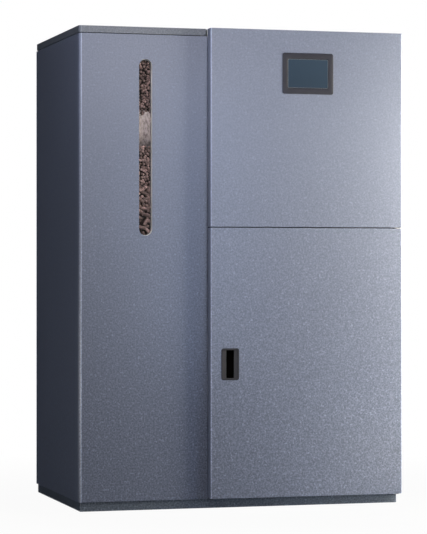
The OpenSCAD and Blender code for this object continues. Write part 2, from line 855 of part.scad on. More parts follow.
// Point of the flight's edge at radius r, turn t and offset dx along the axis
function flight_point(r, t, dx) =
    [tube_x0 + end_plate_t + 3 + t * flight_pitch + dx, r * cos(360 * t), auger_z + r * sin(360 * t)];

module auger_flight() {
    steps = 16;
    turns = floor((burner_x - 14 - tube_x0 - end_plate_t) / flight_pitch * steps) / steps;
    n = turns * steps;
    core = shaft_r - 0.5;
    pts = [for (i = [0 : n]) for (c = [[core, 0], [flight_r, 0], [flight_r, flight_t], [core, flight_t]])
        flight_point(c[0], i / steps, c[1])];
    sides = [for (i = [0 : n - 1]) for (j = [0 : 3])
        let (k = (j + 1) % 4) each [[4 * i + j, 4 * i + 4 + j, 4 * i + k], [4 * i + k, 4 * i + 4 + j, 4 * i + 4 + k]]];
    ends = [[0, 1, 2], [0, 2, 3], [4 * n, 4 * n + 2, 4 * n + 1], [4 * n, 4 * n + 3, 4 * n + 2]];
    color(bare_steel) polyhedron(points = pts, faces = concat(sides, ends));
}

module feeder_gearbox() {
    x1 = tube_x0;
    h = gearbox_w / 2;
    fin = 3;
    edge = 8;
    fin_pitch = (gearbox_l - 2 * edge - fin) / 3;
    color(dark_paint) difference() {
        union() {
            block([x1 - gearbox_l, -h, auger_z - h], [x1, h, auger_z + h]);
            for (i = [0 : 3]) block([x1 - gearbox_l + edge + i * fin_pitch, -h - fin, auger_z - h + edge],
                                    [x1 - gearbox_l + edge + fin + i * fin_pitch, h + fin, auger_z + h - edge]);
        }
        xcyl(shaft_r + run_gap, x1 - gearbox_l / 2 - 3, x1 + 1, 0, auger_z);
    }
}

module feeder_motor() {
    x = tube_x0 - gearbox_l / 2;
    z1 = auger_z - gearbox_w / 2;
    color(bare_steel) {
        zcyl(motor_r, z1 - motor_length, z1, x, 0);
        zcyl(motor_r + motor_flange, z1 - 2 * motor_flange, z1, x, 0);
        zcyl(motor_r * 3 / 4, z1 - motor_length - 2 * motor_flange, z1 - motor_length, x, 0);
    }
}

module burner_base() {
    e = elbow_half;
    a = air_box_half;
    color(dark_paint) difference() {
        union() {
            block([burner_x - e, -e, auger_z - e], [burner_x + e, e, deck_z]);
            block([burner_x - a, -a - 18, air_box_z], [burner_x + a, a + 18, deck_z]);
        }
        difference() {
            block([burner_x - a + 3, -a - 15, air_box_z + 3], [burner_x + a - 3, a + 15, deck_z - 3]);
            block([burner_x - e, -e, auger_z - e - 1], [burner_x + e, e, deck_z + 1]);
        }
        xcyl(feed_tube_r + fit_gap, burner_x - a - 1, tube_x1 + fit_gap, 0, auger_z);
        xcyl(feed_bore, burner_x - e - 1, burner_x, 0, auger_z);
        zcyl(riser_r, auger_z - feed_bore + 4, deck_z + 1, burner_x, 0);
        xcyl(duct_r + fit_gap, burner_x - a - 1, burner_x - a + 4, -duct_y, fan_z);
        for (s = [-1, 1]) zcyl(6, deck_z - 4, deck_z + 1, burner_x + s * 52, 0);
        xcyl(igniter_r + fit_gap, burner_x + riser_r - 2, burner_x + a + 1, 0, deck_z - 12);
    }
}

module burner_pot() {
    rim_z = deck_z + pot_h;
    color("#4a4440") difference() {
        union() {
            zcyl(pot_r, deck_z, rim_z, burner_x, 0);
            zcyl(pot_r + 14, fire_z0, fire_z0 + 6, burner_x, 0);
        }
        zcyl(riser_r, deck_z - 1, rim_z - 14, burner_x, 0);
        zcyl(pot_r - 8, rim_z - 14, rim_z + 1, burner_x, 0);
        zcyl(pot_r - 6, deck_z + 4, rim_z - 20, burner_x, 0);
        for (i = [0 : air_holes - 1]) translate([burner_x, 0, rim_z - 6]) rotate([0, 90, i * 360 / air_holes])
            translate([0, 0, pot_r - 10]) cylinder(h = 20, r = air_hole_r, $fn = 16);
    }
}

module igniter() {
    color(bare_steel) {
        xcyl(igniter_r, burner_x + riser_r + 1, burner_x + air_box_half + 20, 0, deck_z - 12);
        xcyl(igniter_r + 4, burner_x + air_box_half, burner_x + air_box_half + 14, 0, deck_z - 12);
    }
}

module fan_housing() {
    color(dark_paint) difference() {
        union() {
            xcyl(fan_r, fan_x0, fan_x1, -fan_y, fan_z);
            xcyl(duct_r, fan_x1 - 2, burner_x - air_box_half + 3, -duct_y, fan_z);
            block([fan_x0 + 10, -fan_y - 18, floor_plate], [fan_x0 + 13, -fan_y + 18, fan_z - fan_r + 6]);
            block([fan_x0, -fan_y - 18, floor_plate], [fan_x0 + 24, -fan_y + 18, floor_plate + 3]);
        }
        xcyl(fan_r - 2, fan_x0 + 2, fan_x1 - 2, -fan_y, fan_z);
        xcyl(duct_r - 2, fan_x1 - 3, burner_x - air_box_half + 4, -duct_y, fan_z);
        xcyl(fan_shaft_r + 3, fan_x0 - 1, fan_x0 + 3, -fan_y, fan_z);
        for (i = [0 : 7]) translate([fan_x0, -fan_y, fan_z]) rotate([i * 45, 0, 0])
            xcyl(5, -1, 3, 0, fan_r / 2 + 7);
    }
}

module fan_motor() {
    x0 = frame_x0 + 2;
    color(bare_steel) difference() {
        union() {
            xcyl(fan_motor_r, x0, fan_x0 - 4, -fan_y, fan_z);
            for (i = [0 : 2]) translate([0, -fan_y, fan_z]) rotate([i * 120, 0, 0])
                xcyl(2.5, fan_x0 - 6, fan_x0, 0, fan_motor_r - 4);
        }
        xcyl(fan_shaft_r + run_gap, fan_x0 - 20, fan_x0, -fan_y, fan_z);
    }
}

module fan_wheel() {
    hub_x0 = fan_x0 + 5;
    hub_x1 = fan_x1 - 6;
    wheel_r = fan_r - 7;
    color(bare_steel) {
        xcyl(fan_shaft_r, fan_x0 - 18, hub_x1, -fan_y, fan_z);
        xcyl(fan_shaft_r + 6, hub_x0, hub_x1, -fan_y, fan_z);
        xcyl(wheel_r, hub_x1 - 2, hub_x1, -fan_y, fan_z);
        for (i = [0 : blades - 1]) translate([0, -fan_y, fan_z]) rotate([i * 360 / blades, 0, 0])
            block([hub_x0, -0.8, wheel_r - 16], [hub_x1, 0.8, wheel_r - 1]);
        xcyl_ring(wheel_r, wheel_r - 4, hub_x0, hub_x0 + 2, -fan_y, fan_z);
    }
}

// Flat ring across the X axis
module xcyl_ring(ro, ri, x0, x1, y, z) {
    difference() {
        xcyl(ro, x0, x1, y, z);
        xcyl(ri, x0 - 1, x1 + 1, y, z);
    }
}

// Centres of the fire tubes
tube_centres = [for (i = [-1 : 1]) for (s = [-1, 1]) [body_x + i * tube_pitch_x, tube_y + s * tube_pitch_y / 2]];

module boiler_body() {
    w = steel;
    color("#8d3b2f") difference() {
        union() {
            difference() {
                block([boiler_x0, body_y0, body_z0], [body_x1, body_y1, body_z1]);
                block([fire_x0, body_y0 - 1, fire_z0], [fire_x1, fire_y1, firebox_top]);
            }
            for (x = [fire_x0, fire_x1 - ledge])
                block([x, body_y0 + 60, baffle_z - ledge], [x + ledge, fire_y1, baffle_z]);
            block([fire_x0, body_y0, fire_opening_z1], [fire_x1, body_y0 + w, firebox_top]);
        }
        block([fire_x0, body_y0 - 1, ash_floor], [fire_x1, fire_y1, deck_z]);
        zcyl(pot_r + 1, deck_z - 1, fire_z0 + 1, burner_x, 0);
        for (x = [fire_x0 + 8, fire_x1 - 48])
            block([x, -120, deck_z - 1], [x + 40, 120, fire_z0 + 1]);
        block([boiler_x0 + 30, body_y0 + 25, smokebox_z], [body_x1 - 30, body_y1 - 30, body_z1 + 1]);
        for (c = tube_centres) zcyl(tube_r, firebox_top - 1, smokebox_z + 1, c[0], c[1]);
        difference() {
            block([boiler_x0 + w, body_y0 + w, fire_z0 + 20], [body_x1 - w, body_y1 - w, smokebox_z - w]);
            block([fire_x0 - w, body_y0 - 1, fire_z0], [fire_x1 + w, fire_y1 + w, firebox_top + w]);
            for (c = tube_centres) zcyl(tube_r + 5, firebox_top, smokebox_z, c[0], c[1]);
        }
        ycyl(flue_r - flue_wall, body_y1 - 31, body_y1 + 1, body_x, flue_z);
        ycyl(pipe_r - pipe_wall, body_y1 - w - 1, body_y1 + 1, supply_x, supply_z);
        ycyl(pipe_r - pipe_wall, body_y1 - w - 1, body_y1 + 1, return_x, return_z);
        ycyl(drain_r - 3, body_y1 - w - 1, body_y1 + 1, drain_x, drain_z);
        xcyl(feed_tube_r + fit_gap, boiler_x0 - 1, fire_x0 + 1, 0, auger_z);
        xcyl(duct_r + fit_gap, boiler_x0 - 1, fire_x0 + 1, -duct_y, fan_z);
    }
}

module boiler_rails() {
    color(bare_steel) for (y = [body_y0 + 40, body_y1 - 40 - rail_w])
        block([boiler_x0 + 10, y, floor_plate], [body_x1 - 10, y + rail_w, body_z0]);
}

module boiler_insulation() {
    t = insulation_t;
    color(wool) difference() {
        block([boiler_x0 - t, body_y0 + 5, 110], [body_x1 + t, body_y1 + t - 5, body_z1 - 5]);
        block([boiler_x0, body_y0, 109], [body_x1, body_y1, body_z1]);
        xcyl(feed_tube_r + 1, boiler_x0 - t - 2, boiler_x0, 0, auger_z);
        xcyl(duct_r + 1, boiler_x0 - t - 2, boiler_x0, -duct_y, fan_z);
        ycyl(flue_r + 1, body_y1, body_y1 + t + 1, body_x, flue_z);
        ycyl(pipe_r + 1, body_y1, body_y1 + t + 1, supply_x, supply_z);
        ycyl(pipe_r + 1, body_y1, body_y1 + t + 1, return_x, return_z);
        ycyl(drain_r + 1, body_y1, body_y1 + t + 1, drain_x, drain_z);
    }
}

module firebox_baffle() {
    color(wool)
        block([fire_x0 + 2, body_y0 + 70, baffle_z], [fire_x1 - 2, fire_y1 - 2, baffle_z + baffle_t]);
}

module smokebox_hatch() {
    color(dark_paint) {
        difference() {
            block([boiler_x0 + 15, body_y0 + 10, hatch_z], [body_x1 - 15, body_y1 - 15, hatch_z + hatch_t]);
            zcyl(rod_r + run_gap, hatch_z - 1, hatch_z + hatch_t + 1, body_x, tube_y);
        }
        difference() {
            block([boiler_x0 + 18, body_y0 + 13, body_z1], [body_x1 - 18, body_y1 - 18, hatch_z]);
            block([boiler_x0 + 28, body_y0 + 23, body_z1 - 1], [body_x1 - 28, body_y1 - 28, hatch_z + 1]);
        }
    }
}

module cleaning_rod() {
    z1 = hatch_z + hatch_t;
    color(bare_steel) {
        zcyl(rod_r, smokebox_z + turbulator_lift + turbulator_bar, z1 + rod_reach, body_x, tube_y);
        zcyl(rod_stop_r, z1 + fit_gap, z1 + rod_stop_r / 2, body_x, tube_y);
        translate([body_x, tube_y, z1 + rod_reach + knob_r * 2 / 3]) sphere(knob_r);
    }
}

module turbulators() {
    z0 = firebox_top + turbulator_rise;
    z = smokebox_z + turbulator_lift;
    h = turbulator_bar * 0.6;
    b = turbulator_bar / 2;
    pitch = (z - z0) / 6.5;
    color(bare_steel) {
        for (y = [tube_y - tube_pitch_y / 2, tube_y + tube_pitch_y / 2])
            block([body_x - tube_pitch_x - b, y - b, z], [body_x + tube_pitch_x + b, y + b, z + h]);
        block([body_x - b, tube_y - tube_pitch_y / 2, z], [body_x + b, tube_y + tube_pitch_y / 2, z + h]);
        zcyl(rod_stop_r, z, z + turbulator_bar, body_x, tube_y);
        for (c = tube_centres) {
            zcyl(h / 2, z0, z + h / 2, c[0], c[1]);
            for (i = [0 : 5]) translate([c[0], c[1], z0 + (i + 0.5) * pitch]) rotate([0, i % 2 * 60 - 30, 0])
                cube([turbulator_w, turbulator_w, turbulator_t], center = true);
        }
    }
}

// Pipe stub that leaves the boiler's back
module stub(r, wall, x, z) {
    difference() {
        ycyl(r, body_y1, stub_y, x, z);
        ycyl(r - wall, body_y1 - 1, stub_y + 1, x, z);
    }
}

module flue_collar() {
    color(bare_steel) stub(flue_r, flue_wall, body_x, flue_z);
}

module supply_pipe() {
    color(bare_steel) stub(pipe_r, pipe_wall, supply_x, supply_z);
}

module return_pipe() {
    color(bare_steel) stub(pipe_r, pipe_wall, return_x, return_z);
}

module drain_valve() {
    color("#b08d57") {
        difference() {
            union() {
                ycyl(drain_r, body_y1, stub_y, drain_x, drain_z);
                ycyl(drain_r + 5, drain_key_y - 14, drain_key_y + 14, drain_x, drain_z);
            }
            ycyl(drain_r - 3, body_y1 - 1, stub_y + 1, drain_x, drain_z);
        }
        zcyl(3, drain_z + drain_r + 2, drain_z + drain_r + 13, drain_x, drain_key_y);
    }
}

module drain_lever_arm() {
    z0 = drain_z + drain_r + 5 + fit_gap;
    color("#9c2f2a") difference() {
        union() {
            zcyl(7, z0, z0 + 6, drain_x, drain_key_y);
            block([drain_x, drain_key_y - 5, z0], [drain_x + drain_lever, drain_key_y + 5, z0 + 4]);
            zcyl(5, z0, z0 + 4, drain_x + drain_lever, drain_key_y);
        }
        zcyl(3 + run_gap, z0 - 1, z0 + 7, drain_x, drain_key_y);
    }
}

module firebox_hinges() {
    r = fire_knuckle_r;
    color(dark_paint) for (z = knuckle_z) {
        zcyl(r, z - knuckle_base_h, z - fit_gap, fire_axis_x, fire_axis_y);
        block([fire_axis_x - r, fire_axis_y, z - knuckle_base_h], [fire_axis_x + r, body_y0, z - fit_gap]);
        zcyl(fire_pin_r, z - knuckle_base_h, z + knuckle_h - 2, fire_axis_x, fire_axis_y);
    }
}

// Handle that bows out from a front plate, along X
module bow_handle(x, y, z) {
    ends = [x - handle_length / 2, x + handle_length / 2];
    for (e = ends) ycyl(handle_r, y - handle_depth, y, e, z);
    xcyl(handle_r, ends[0], ends[1], y - handle_depth, z);
    for (e = ends) translate([e, y - handle_depth, z]) sphere(handle_r);
}

module firebox_door() {
    o = fire_door_overlap;
    color(dark_paint) difference() {
        union() {
            block([fire_x0 - o, fire_door_y0, fire_z0 - o + 4], [fire_x1 + o, fire_door_y1, fire_opening_z1 + o]);
            for (z = knuckle_z) {
                zcyl(fire_knuckle_r, z, z + knuckle_h, fire_axis_x, fire_axis_y);
                block([fire_x1, fire_axis_y - 4, z], [fire_axis_x, fire_axis_y + 6, z + knuckle_h]);
            }
            upright_handle(fire_x0 + 40);
        }
        for (z = knuckle_z) zcyl(fire_pin_r + run_gap, z - 1, z + knuckle_h + 1, fire_axis_x, fire_axis_y);
    }
}

// Upright handle of the firebox door
module upright_handle(x) {
    z = (fire_z0 + fire_opening_z1) / 2;
    y = fire_door_y0;
    for (s = [-1, 1]) {
        ycyl(handle_r, y - handle_depth, y + 1, x, z + s * handle_length / 2);
        translate([x, y - handle_depth, z + s * handle_length / 2]) sphere(handle_r);
    }
    zcyl(handle_r, z - handle_length / 2, z + handle_length / 2, x, y - handle_depth);
}

module firebox_board() {
    b = board_gap;
    o = fire_door_overlap - 3;
    color(wool) {
        block([fire_x0 + b, fire_door_y1, fire_z0 + b], [fire_x1 - b, fire_door_y1 + fire_board_t, fire_opening_z1 - b]);
        difference() {
            block([fire_x0 - o, fire_door_y1, fire_z0 - o + 4], [fire_x1 + o, body_y0 - fit_gap, fire_opening_z1 + o]);
            block([fire_x0 - 1, fire_door_y1 - 1, fire_z0 - 1], [fire_x1 + 1, body_y0 + 1, fire_opening_z1 + 1]);
        }
    }
}

module ash_drawer() {
    x0 = fire_x0 + 3;
    x1 = fire_x1 - 3;
    z0 = ash_floor + fit_gap;
    y0 = body_y0 - fit_gap;
    y1 = fire_y1 - drawer_back_gap;
    color(bare_steel) {
        difference() {
            block([x0, y0 - 1, z0], [x1, y1, z0 + drawer_h]);
            block([x0 + drawer_wall, y0, z0 + drawer_wall], [x1 - drawer_wall, y1 - drawer_wall, z0 + drawer_h + 1]);
        }
        block([fire_x0 - 12, y0 - drawer_front_t, z0 - 6], [fire_x1 + 12, y0, ash_floor + drawer_front_h]);
        bow_handle(body_x, y0 - drawer_front_t + 1, ash_floor + drawer_front_h / 2);
    }
}

module service_plate() {
    color(dark_paint) difference() {
        block([open_x0 - 12, service_y, service_z0], [open_x1 + 12, service_y + sheet, service_z1]);
        ycyl(reset_r + 0.5, service_y - 1, service_y + sheet + 1, reset_x, reset_z);
        for (i = [0 : 7]) block([control_x - 120 + i * 14, service_y - 1, reset_z - 40],
                                [control_x - 114 + i * 14, service_y + sheet + 1, reset_z + 40]);
    }
}

module control_box() {
    x0 = control_x - control_w / 2;
    x1 = control_x + control_w / 2;
    y0 = service_y + sheet;
    color(bare_steel) difference() {
        block([x0, y0, service_z0 + 15], [x1, y0 + control_d, service_z1 - 15]);
        block([x0 + 2, y0 + 2, service_z0 + 17], [x1 - 2, y0 + control_d - 2, service_z1 - 17]);
        block([x0 + 10, y0 - 1, service_z0 + 25], [reset_x - reset_r - 14, y0 + 3, service_z1 - 25]);
        ycyl(reset_r + run_gap, y0 - 1, y0 + 3, reset_x, reset_z);
    }
}

module reset_button() {
    color("#9c2f2a") {
        ycyl(reset_r, service_y - 5, service_y + sheet + 6, reset_x, reset_z);
        ycyl(reset_r + 2, service_y + sheet + 2 + fit_gap, service_y + sheet + 6, reset_x, reset_z);
    }
}

module mains_inlet() {
    w = inlet_w / 2;
    h = inlet_h / 2;
    color(black) difference() {
        union() {
            block([inlet_x - w, y_back, inlet_z - h], [switch_x + 15, y_back + 3, inlet_z + h]);
            block([inlet_x - w + 4, y_back - inlet_d, inlet_z - h + 4], [switch_x + 11, y_back + 1, inlet_z + h - 4]);
        }
        difference() {
            block([inlet_x - 12, y_back - inlet_d + 6, inlet_z - 8], [inlet_x + 12, y_back + 4, inlet_z + 8]);
            for (i = [-1 : 1]) block([inlet_x + i * 7 - 1, y_back - inlet_d, inlet_z - 5 + 3 * abs(i)],
                                     [inlet_x + i * 7 + 1, y_back - 4, inlet_z - 1 + 3 * abs(i)]);
        }
        block([switch_x - 7, y_back - 8, inlet_z - 10], [switch_x + 7, y_back + 4, inlet_z + 10]);
        xcyl(rocker_pin_r + run_gap, switch_x - 10, switch_x + 10, y_back + 1, inlet_z);
    }
}

// Rocker with two flat faces, tilted to its OFF side
module switch_rocker() {
    r = rocker_r;
    color(black) translate([switch_x, y_back + 1, inlet_z]) rotate([-8, 0, 0]) {
        translate([-6.5, 0, 0]) rotate([0, 90, 0]) linear_extrude(13)
            polygon([[-r, 1.5], [0, 0.5], [r, 1.5], [r * 0.6, -4], [-r * 0.6, -4]]);
        xcyl(rocker_pin_r, -9, 9, 0, 0);
    }
}

// Hollow door between two heights, open at its back inside a lip
module door_pan(z0, z1) {
    h = z1 - z0;
    translate([hx1, door_y0, z0]) difference() {
        linear_extrude(h) round_front(boiler_w, door_t, door_edge_r, door_edge_r);
        translate([sheet, sheet, sheet]) linear_extrude(h - 2 * sheet)
            round_front(boiler_w - 2 * sheet, door_t - 2 * sheet, door_edge_r - sheet, door_edge_r - sheet);
        block([door_lip, door_t - sheet - 1, door_lip], [boiler_w - stile_right, door_t + 1, h - door_lip]);
    }
}

// Bush that turns on a hinge pin, between two heights
module hinge_bush(z0, z1) {
    zcyl(bush_r, z0, z1, hinge_x, hinge_y);
}

// Clear way for a hinge pin and its plate
module pin_hole(z0, z1) {
    zcyl(pin_r + run_gap, z0, z1, hinge_x, hinge_y);
}

module upper_door() {
    slot_z = top_arm_z - 1;
    color(paint) difference() {
        union() {
            door_pan(upper_z0, upper_z1);
            hinge_bush(upper_z0, upper_z0 + sheet + pin_l + 1);
            hinge_bush(top_arm_z + hinge_plate + fit_gap, upper_z1 - sheet / 2);
        }
        pin_hole(upper_z0 - 1, upper_z0 + sheet + pin_l + 2);
        pin_hole(slot_z, upper_z1 - sheet);
        block([hinge_x - arm_w / 2 - 2, hinge_y - arm_w, slot_z],
              [bx1 + 1, door_y1 + 1, top_arm_z + hinge_plate + fit_gap]);
        block([display_x - bezel_w / 2 + 5, door_y0 - 1, display_z - bezel_h / 2 + 5],
              [display_x + bezel_w / 2 - 5, door_y0 + sheet + 1, display_z + bezel_h / 2 - 5]);
    }
}

module display_bezel() {
    w = bezel_w / 2;
    h = bezel_h / 2;
    y0 = door_y0 - bezel_proud;
    color(black) difference() {
        union() {
            block([display_x - w, y0, display_z - h], [display_x + w, door_y0, display_z + h]);
            block([display_x - w + 6, y0, display_z - h + 6], [display_x + w - 6, door_y0 + display_depth, display_z + h - 6]);
        }
        block([display_x - w + 9, door_y0 + 3, display_z - h + 9],
              [display_x + w - 9, door_y0 + display_depth - 2, display_z + h - 9]);
        block([display_x - screen_w / 2, y0 - 1, display_z - screen_h / 2],
              [display_x + screen_w / 2, door_y0 + 4, display_z + screen_h / 2]);
    }
}

module touch_screen() {
    g = fit_gap;
    y0 = door_y0 - bezel_proud + 1;
    color("#3f4f5e")
        block([display_x - screen_w / 2 + g, y0, display_z - screen_h / 2 + g],
              [display_x + screen_w / 2 - g, y0 + 4, display_z + screen_h / 2 - g]);
}

module lower_door() {
    color(paint) difference() {
        union() {
            door_pan(lower_z0, lower_z1);
            hinge_bush(lower_z0, lower_z0 + sheet + pin_l + 1);
            hinge_bush(lower_z1 - sheet - pin_l - 1, lower_z1);
        }
        pin_hole(lower_z0 - 1, lower_z0 + sheet + pin_l + 2);
        pin_hole(lower_z1 - sheet - pin_l - 2, lower_z1 + 1);
        block([pull_x - pull_w / 2 + cup_margin, door_y0 - 1, pull_z - pull_h / 2 + cup_margin],
              [pull_x + pull_w / 2 - cup_margin, door_y0 + sheet + 1, pull_z + pull_h / 2 - cup_margin]);
    }
}

module pull_cup() {
    x0 = pull_x - pull_w / 2;
    x1 = pull_x + pull_w / 2;
    z0 = pull_z - pull_h / 2;
    z1 = pull_z + pull_h / 2;
    m = cup_margin + fit_gap;
    y1 = door_y0 + pull_depth;
    fz = finger_h / 2;
    color(black) difference() {
        union() {
            block([x0, door_y0 - 1, z0], [x1, door_y0, z1]);
            block([x0 + m, door_y0 - 0.5, z0 + m], [x1 - m, y1, z1 - m]);
        }
        block([finger_x0, door_y0 - 2, pull_z - fz], [finger_x0 + finger_w, y1 - cup_wall, pull_z + fz]);
        block([finger_x0, door_y0 + 3, pull_z - fz], [x1 - m - cup_wall, y1 - cup_wall, pull_z + fz]);
        translate([0, 0, pull_z - fz]) linear_extrude(2 * fz)
            polygon([[x0 + m, door_y0 - 1.5], [finger_x0 + 1, door_y0 - 1.5], [finger_x0 + 1, door_y0 + 6]]);
    }
}

base_plinth();
left_side_panel();
right_side_panel();
rear_panel();
hopper_front_panel();
partition_panel();
boiler_top_panel();
front_frame();
door_seals();
door_magnets();
hinge_brackets();
panel_screws();
hopper_collar();
lid_gasket();
hopper_tank();
window_gasket();
window_glass();
pellet_charge();
lid_hinge_base();
hopper_lid();
lid_liner();
lid_hinge_leaf();
auger_tube();
auger_bush();
auger_shaft();
auger_flight();
feeder_gearbox();
feeder_motor();
burner_base();
burner_pot();
igniter();
fan_housing();
fan_motor();
fan_wheel();
boiler_body();
boiler_rails();
boiler_insulation();
firebox_baffle();
smokebox_hatch();
cleaning_rod();
turbulators();
flue_collar();
supply_pipe();
return_pipe();
drain_valve();
drain_lever_arm();
firebox_hinges();
firebox_door();
firebox_board();
ash_drawer();
service_plate();
control_box();
reset_button();
mains_inlet();
switch_rocker();
upper_door();
display_bezel();
touch_screen();
lower_door();
pull_cup();
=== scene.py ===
import json
import math

import bmesh
import bpy
from mathutils import Matrix, Vector, noise

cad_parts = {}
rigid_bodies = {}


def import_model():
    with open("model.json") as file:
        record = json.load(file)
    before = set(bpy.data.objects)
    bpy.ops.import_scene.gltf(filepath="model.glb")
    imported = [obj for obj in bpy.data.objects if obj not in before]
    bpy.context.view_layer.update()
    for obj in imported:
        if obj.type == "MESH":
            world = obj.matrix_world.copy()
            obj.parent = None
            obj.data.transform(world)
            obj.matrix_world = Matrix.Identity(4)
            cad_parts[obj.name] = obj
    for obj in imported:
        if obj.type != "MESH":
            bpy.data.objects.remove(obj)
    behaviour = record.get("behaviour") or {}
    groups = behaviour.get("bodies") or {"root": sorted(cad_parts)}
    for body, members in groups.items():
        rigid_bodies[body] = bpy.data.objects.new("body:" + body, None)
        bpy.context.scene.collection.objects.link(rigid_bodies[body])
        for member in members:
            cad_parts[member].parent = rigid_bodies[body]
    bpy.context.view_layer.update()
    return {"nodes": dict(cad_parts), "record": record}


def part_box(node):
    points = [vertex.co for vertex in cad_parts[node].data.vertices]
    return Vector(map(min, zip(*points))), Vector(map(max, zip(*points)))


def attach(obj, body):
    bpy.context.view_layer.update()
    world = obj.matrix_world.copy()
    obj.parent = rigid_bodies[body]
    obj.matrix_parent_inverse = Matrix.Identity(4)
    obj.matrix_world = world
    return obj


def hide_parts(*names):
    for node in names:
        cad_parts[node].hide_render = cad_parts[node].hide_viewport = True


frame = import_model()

NODES = frame["nodes"]
SLOT_OF = {part["node"]: part["material_slot"] for part in frame["record"]["subparts"]}
BODY_OF = {node: body for body, nodes in frame["record"]["behaviour"]["bodies"].items() for node in nodes}
MM = 0.001


# Object and node calls

def linked(name, data):
    """Object in the scene for a mesh, a lamp or a camera."""
    obj = bpy.data.objects.new(name, data)
    bpy.context.scene.collection.objects.link(obj)
    return obj


def feed(tree, node, key, value):
    """Links an output to an input of a node, or sets the input to a plain value."""
    socket = node.inputs[key]
    if isinstance(value, bpy.types.NodeSocket):
        tree.links.new(value, socket)
    else:
        socket.default_value = value


def add_node(tree, kind, **inputs):
    """New node with its inputs fed by name."""
    node = tree.nodes.new(kind)
    for key, value in inputs.items():
        feed(tree, node, key.replace("_", " "), value)
    return node


def add_math(tree, operation, first, second):
    """Outcome of a sum on two numbers or outputs."""
    node = tree.nodes.new("ShaderNodeMath")
    node.operation = operation
    feed(tree, node, 0, first)
    feed(tree, node, 1, second)
    return node.outputs[0]


# Camera and studio

CAMERA_PLACE = (-1.7627, -6.09496, 0.64408)
CAMERA_YAW = 0.28163
CAMERA_LENS = 152.85
WHITE = (1.0, 1.0, 1.0, 1.0)


def add_camera():
    """Camera of the photograph, level and a little to the boiler's left."""
    data = bpy.data.cameras.new("photo_camera")
    data.lens = CAMERA_LENS
    data.sensor_width = 36.0
    data.clip_end = 100.0
    camera = linked("photo_camera", data)
    camera.location = CAMERA_PLACE
    camera.rotation_euler = (math.pi / 2, 0, -CAMERA_YAW)
    bpy.context.scene.camera = camera


def add_lamp(kind, name, place, target, size, radiance, colour):
    """Area lamp of a width and height at a place, turned towards a target, as bright as its radiance says.

    A sheen lights nothing matt, a fill shows in no reflection, and an edge strip only shows as a line of
    light on round edges."""
    data = bpy.data.lights.new(name, "AREA")
    data.shape = "RECTANGLE"
    data.size, data.size_y = size
    data.energy = radiance * math.pi * size[0] * size[1]
    data.color = colour
    lamp = linked(name, data)
    lamp.location = place
    lamp.rotation_euler = (Vector(target) - Vector(place)).to_track_quat("-Z", "Y").to_euler()
    lamp.visible_camera = False
    lamp.visible_diffuse = kind not in ("sheen", "edge")
    lamp.visible_glossy = kind != "fill"
    lamp.visible_transmission = kind != "edge"


def add_sheet(name, corners, colour, rough, specular):
    """Flat sheet of the studio in a matt material; gives the object and the material's tree."""
    mesh = bpy.data.meshes.new(name)
    mesh.from_pydata(corners, [], [(0, 1, 2, 3)])
    sheet = linked(name, mesh)
    matt = bpy.data.materials.new(name + "_paper")
    matt.use_nodes = True
    mesh.materials.append(matt)
    tree = matt.node_tree
    shader = tree.nodes["Principled BSDF"]
    for key, value in (("Base Color", (*colour, 1)), ("Roughness", rough), ("Specular IOR Level", specular)):
        feed(tree, shader, key, value)
    return sheet, tree


def add_dark_card(name, corners):
    """Dark card that only shows in reflections, so that flat paint faces don't mirror the white studio."""
    card = add_sheet(name, corners, (0.02, 0.02, 0.022), 1.0, 0.0)[0]
    card.visible_camera = False
    card.visible_diffuse = False
    card.visible_shadow = False
    card.visible_transmission = False


def seen_directly(tree):
    """1 for camera, glossy and transmission rays, 0 for the rest."""
    path = add_node(tree, "ShaderNodeLightPath")
    total = path.outputs["Is Camera Ray"]
    for name in ("Is Glossy Ray", "Is Transmission Ray"):
        total = add_math(tree, "MAXIMUM", total, path.outputs[name])
    return total


def add_world(ambient):
    """White to the eye and in reflections, and a weaker even light on the object."""
    world = bpy.data.worlds.new("studio")
    bpy.context.scene.world = world
    world.use_nodes = True
    tree = world.node_tree
    strength = add_node(tree, "ShaderNodeMapRange", Value=seen_directly(tree), To_Min=ambient)
    background = tree.nodes["Background"]
    feed(tree, background, "Color", WHITE)
    feed(tree, background, "Strength", strength.outputs["Result"])


def add_floor(glow, half=9.0):
    """Pale floor that keeps the object's shadow, and glows white from a little way off."""
    corners = [(-half, -half, 0), (half, -half, 0), (half, half, 0), (-half, half, 0)]
    tree = add_sheet("floor", corners, (0.25, 0.25, 0.25), 0.9, 0.1)[1]
    light = add_node(tree, "ShaderNodeEmission", Color=WHITE)
    far = add_node(tree, "ShaderNodeVectorMath")
    far.operation = "LENGTH"
    feed(tree, far, 0, add_node(tree, "ShaderNodeTexCoord").outputs["Object"])
    fade = add_node(tree, "ShaderNodeMapRange", Value=far.outputs["Value"], From_Min=0.6, From_Max=1.6,
                    To_Min=glow)
    mix = add_node(tree, "ShaderNodeMixShader")
    feed(tree, mix, 0, add_math(tree, "MULTIPLY", seen_directly(tree), fade.outputs["Result"]))
    feed(tree, mix, 1, tree.nodes["Principled BSDF"].outputs[0])
    feed(tree, mix, 2, light.outputs[0])
    feed(tree, tree.nodes["Material Output"], "Surface", mix.outputs[0])


